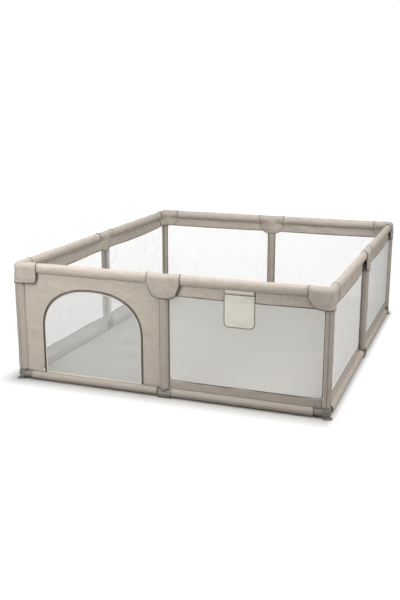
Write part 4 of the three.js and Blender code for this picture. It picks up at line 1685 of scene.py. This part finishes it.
class PLAYPEN_OT_stage(bpy.types.Operator):
    """Floor, white outside the pen with painted shade inside and round it, white backdrop, soft lights and the
    camera
    """

    bl_idname = "playpen.stage"
    bl_label = "Stage"
    bl_options = {"REGISTER", "UNDO"}

    def execute(self, context):
        stage = context.scene.playpen_stage
        self.floor()
        self.world(context.scene, stage)
        self.light("KeyLight", (-0.9, -2.8, 1.5), (-0.1, -1.0, 0.35), 1.6, stage.key_light)
        self.light("SideLight", (5.0, -1.5, 2.6), (0.6, -0.6, 0.3), 2.6, stage.side_light)
        self.light("TopLight", (0.3, -1.0, 4.5), (0.2, -0.8, 0.0), 3.6, stage.top_light)
        self.light("BackLight", (-2.8, 4.4, 1.1), (-0.2, 0.9, 0.3), 1.8, stage.back_light)
        self.camera(context.scene, stage)
        context.scene.view_settings.view_transform = "Standard"
        return {"FINISHED"}

    @staticmethod
    def floor():
        bpy.ops.mesh.primitive_plane_add(size=60)
        floor = bpy.context.object
        floor.name = "studio_floor"
        made, tree, shader, w = material_with_shader("PaleFloor")
        place = tree.nodes.new("ShaderNodeNewGeometry").outputs["Position"]
        x, y, z = w.split(place)
        # painted shade: inside the pen and in a band about 0.02 to 0.14 m round it the floor shows a grey ground
        # under the lamps, and beyond it glows evenly white; the band is narrower on the right
        right = w.times(w.math("MAXIMUM", w.minus(x, POST_X), 0.0), 2.6)
        left = w.math("MAXIMUM", w.minus(w.times(x, -1.0), POST_X), 0.0)
        beyond_x = w.plus(right, left)
        beyond_y = w.math("MAXIMUM", w.minus(w.math("ABSOLUTE", y), POST_Y), 0.0)
        away = w.math("SQRT", w.plus(w.times(beyond_x, beyond_x), w.times(beyond_y, beyond_y)))
        glow_past_painted_shade = w.remap(away, 0.02, 0.14)
        cloud = w.noise(place, 1.3, 2.0)
        path = tree.nodes.new("ShaderNodeLightPath")
        seen = w.times(glow_past_painted_shade, path.outputs["Is Camera Ray"])
        # painted shade: this grey inside the pen stands in for the shade there; rays other than the camera's see a
        # darker floor still, which dims the light bounced up
        ground = w.mix(cloud, (0.390, 0.380, 0.356, 1), (0.425, 0.414, 0.388, 1))
        shown = w.mix(path.outputs["Is Camera Ray"], (0.30, 0.29, 0.28, 1), ground)
        tree.links.new(w.mix(seen, shown, (0.0, 0.0, 0.0, 1)), shader.inputs["Base Color"])
        tree.links.new(w.mix(seen, (0.0, 0.0, 0.0, 1), (1.0, 1.0, 1.0, 1)), shader.inputs["Emission Color"])
        shader.inputs["Emission Strength"].default_value = 1.03
        shader.inputs["Roughness"].default_value = 0.9
        shader.inputs["Specular IOR Level"].default_value = 0.1
        floor.data.materials.append(made)

    @staticmethod
    def world(scene, stage):
        world = bpy.data.worlds.new("Studio")
        scene.world = world
        world.use_nodes = True
        tree = world.node_tree
        tree.nodes.clear()
        out = tree.nodes.new("ShaderNodeOutputWorld")
        mix = tree.nodes.new("ShaderNodeMixShader")
        seen = tree.nodes.new("ShaderNodeBackground")
        seen.inputs["Strength"].default_value = stage.backdrop
        seen.inputs["Color"].default_value = (1, 1, 1, 1)
        lit = tree.nodes.new("ShaderNodeBackground")
        lit.inputs["Strength"].default_value = stage.ambient
        lit.inputs["Color"].default_value = (1, 1, 1, 1)
        path = tree.nodes.new("ShaderNodeLightPath")
        tree.links.new(path.outputs["Is Camera Ray"], mix.inputs[0])
        tree.links.new(lit.outputs[0], mix.inputs[1])
        tree.links.new(seen.outputs[0], mix.inputs[2])
        tree.links.new(mix.outputs[0], out.inputs[0])

    @staticmethod
    def light(name, place, target, size, power):
        data = bpy.data.lights.new(name, "AREA")
        data.shape = "SQUARE"
        data.size = size
        data.energy = power
        lamp = bpy.data.objects.new(name, data)
        lamp.location = place
        lamp.rotation_euler = (Vector(target) - Vector(place)).to_track_quat("-Z", "Y").to_euler()
        lamp.visible_camera = False
        bpy.context.scene.collection.objects.link(lamp)

    @staticmethod
    def camera(scene, stage):
        data = bpy.data.cameras.new("PenCamera")
        data.lens = stage.lens
        data.sensor_width = 36.0
        data.clip_start = 0.05
        data.clip_end = 200.0
        camera = bpy.data.objects.new("PenCamera", data)
        camera.location = stage.camera_place
        camera.rotation_euler = stage.camera_turn
        scene.collection.objects.link(camera)
        scene.camera = camera


PIECE_OPERATORS = (
    PLAYPEN_OT_rail_pads,
    PLAYPEN_OT_bands,
    PLAYPEN_OT_nets,
    PLAYPEN_OT_hems,
    PLAYPEN_OT_post_sleeves,
    PLAYPEN_OT_corner_hoods,
    PLAYPEN_OT_middle_hoods,
    PLAYPEN_OT_doorway,
    PLAYPEN_OT_pocket,
    PLAYPEN_OT_feet,
    PLAYPEN_OT_hardware,
    PLAYPEN_OT_stage,
)


class VIEW3D_PT_playpen(bpy.types.Panel):
    """Buttons that make the pen's pieces"""

    bl_idname = "VIEW3D_PT_playpen"
    bl_label = "Playpen"
    bl_space_type = "VIEW_3D"
    bl_region_type = "UI"
    bl_category = "Playpen"

    def draw(self, context):
        layout = self.layout
        for operator in PIECE_OPERATORS:
            layout.operator(operator.bl_idname)
        for settings in (context.scene.playpen_cover, context.scene.playpen_stage):
            column = layout.column()
            for name in settings.bl_rna.properties.keys():
                if name not in {"rna_type", "name"}:
                    column.prop(settings, name)


CLASSES = (PlaypenCover, PlaypenStage, *PIECE_OPERATORS, VIEW3D_PT_playpen)


def register():
    for cls in CLASSES:
        bpy.utils.register_class(cls)
    bpy.types.Scene.playpen_cover = PointerProperty(type=PlaypenCover)
    bpy.types.Scene.playpen_stage = PointerProperty(type=PlaypenStage)


def unregister():
    del bpy.types.Scene.playpen_stage
    del bpy.types.Scene.playpen_cover
    for cls in reversed(CLASSES):
        bpy.utils.unregister_class(cls)


def main():
    register()
    for operator in PIECE_OPERATORS:
        area, name = operator.bl_idname.split(".")
        getattr(getattr(bpy.ops, area), name)()


if __name__ == "__main__":
    main()
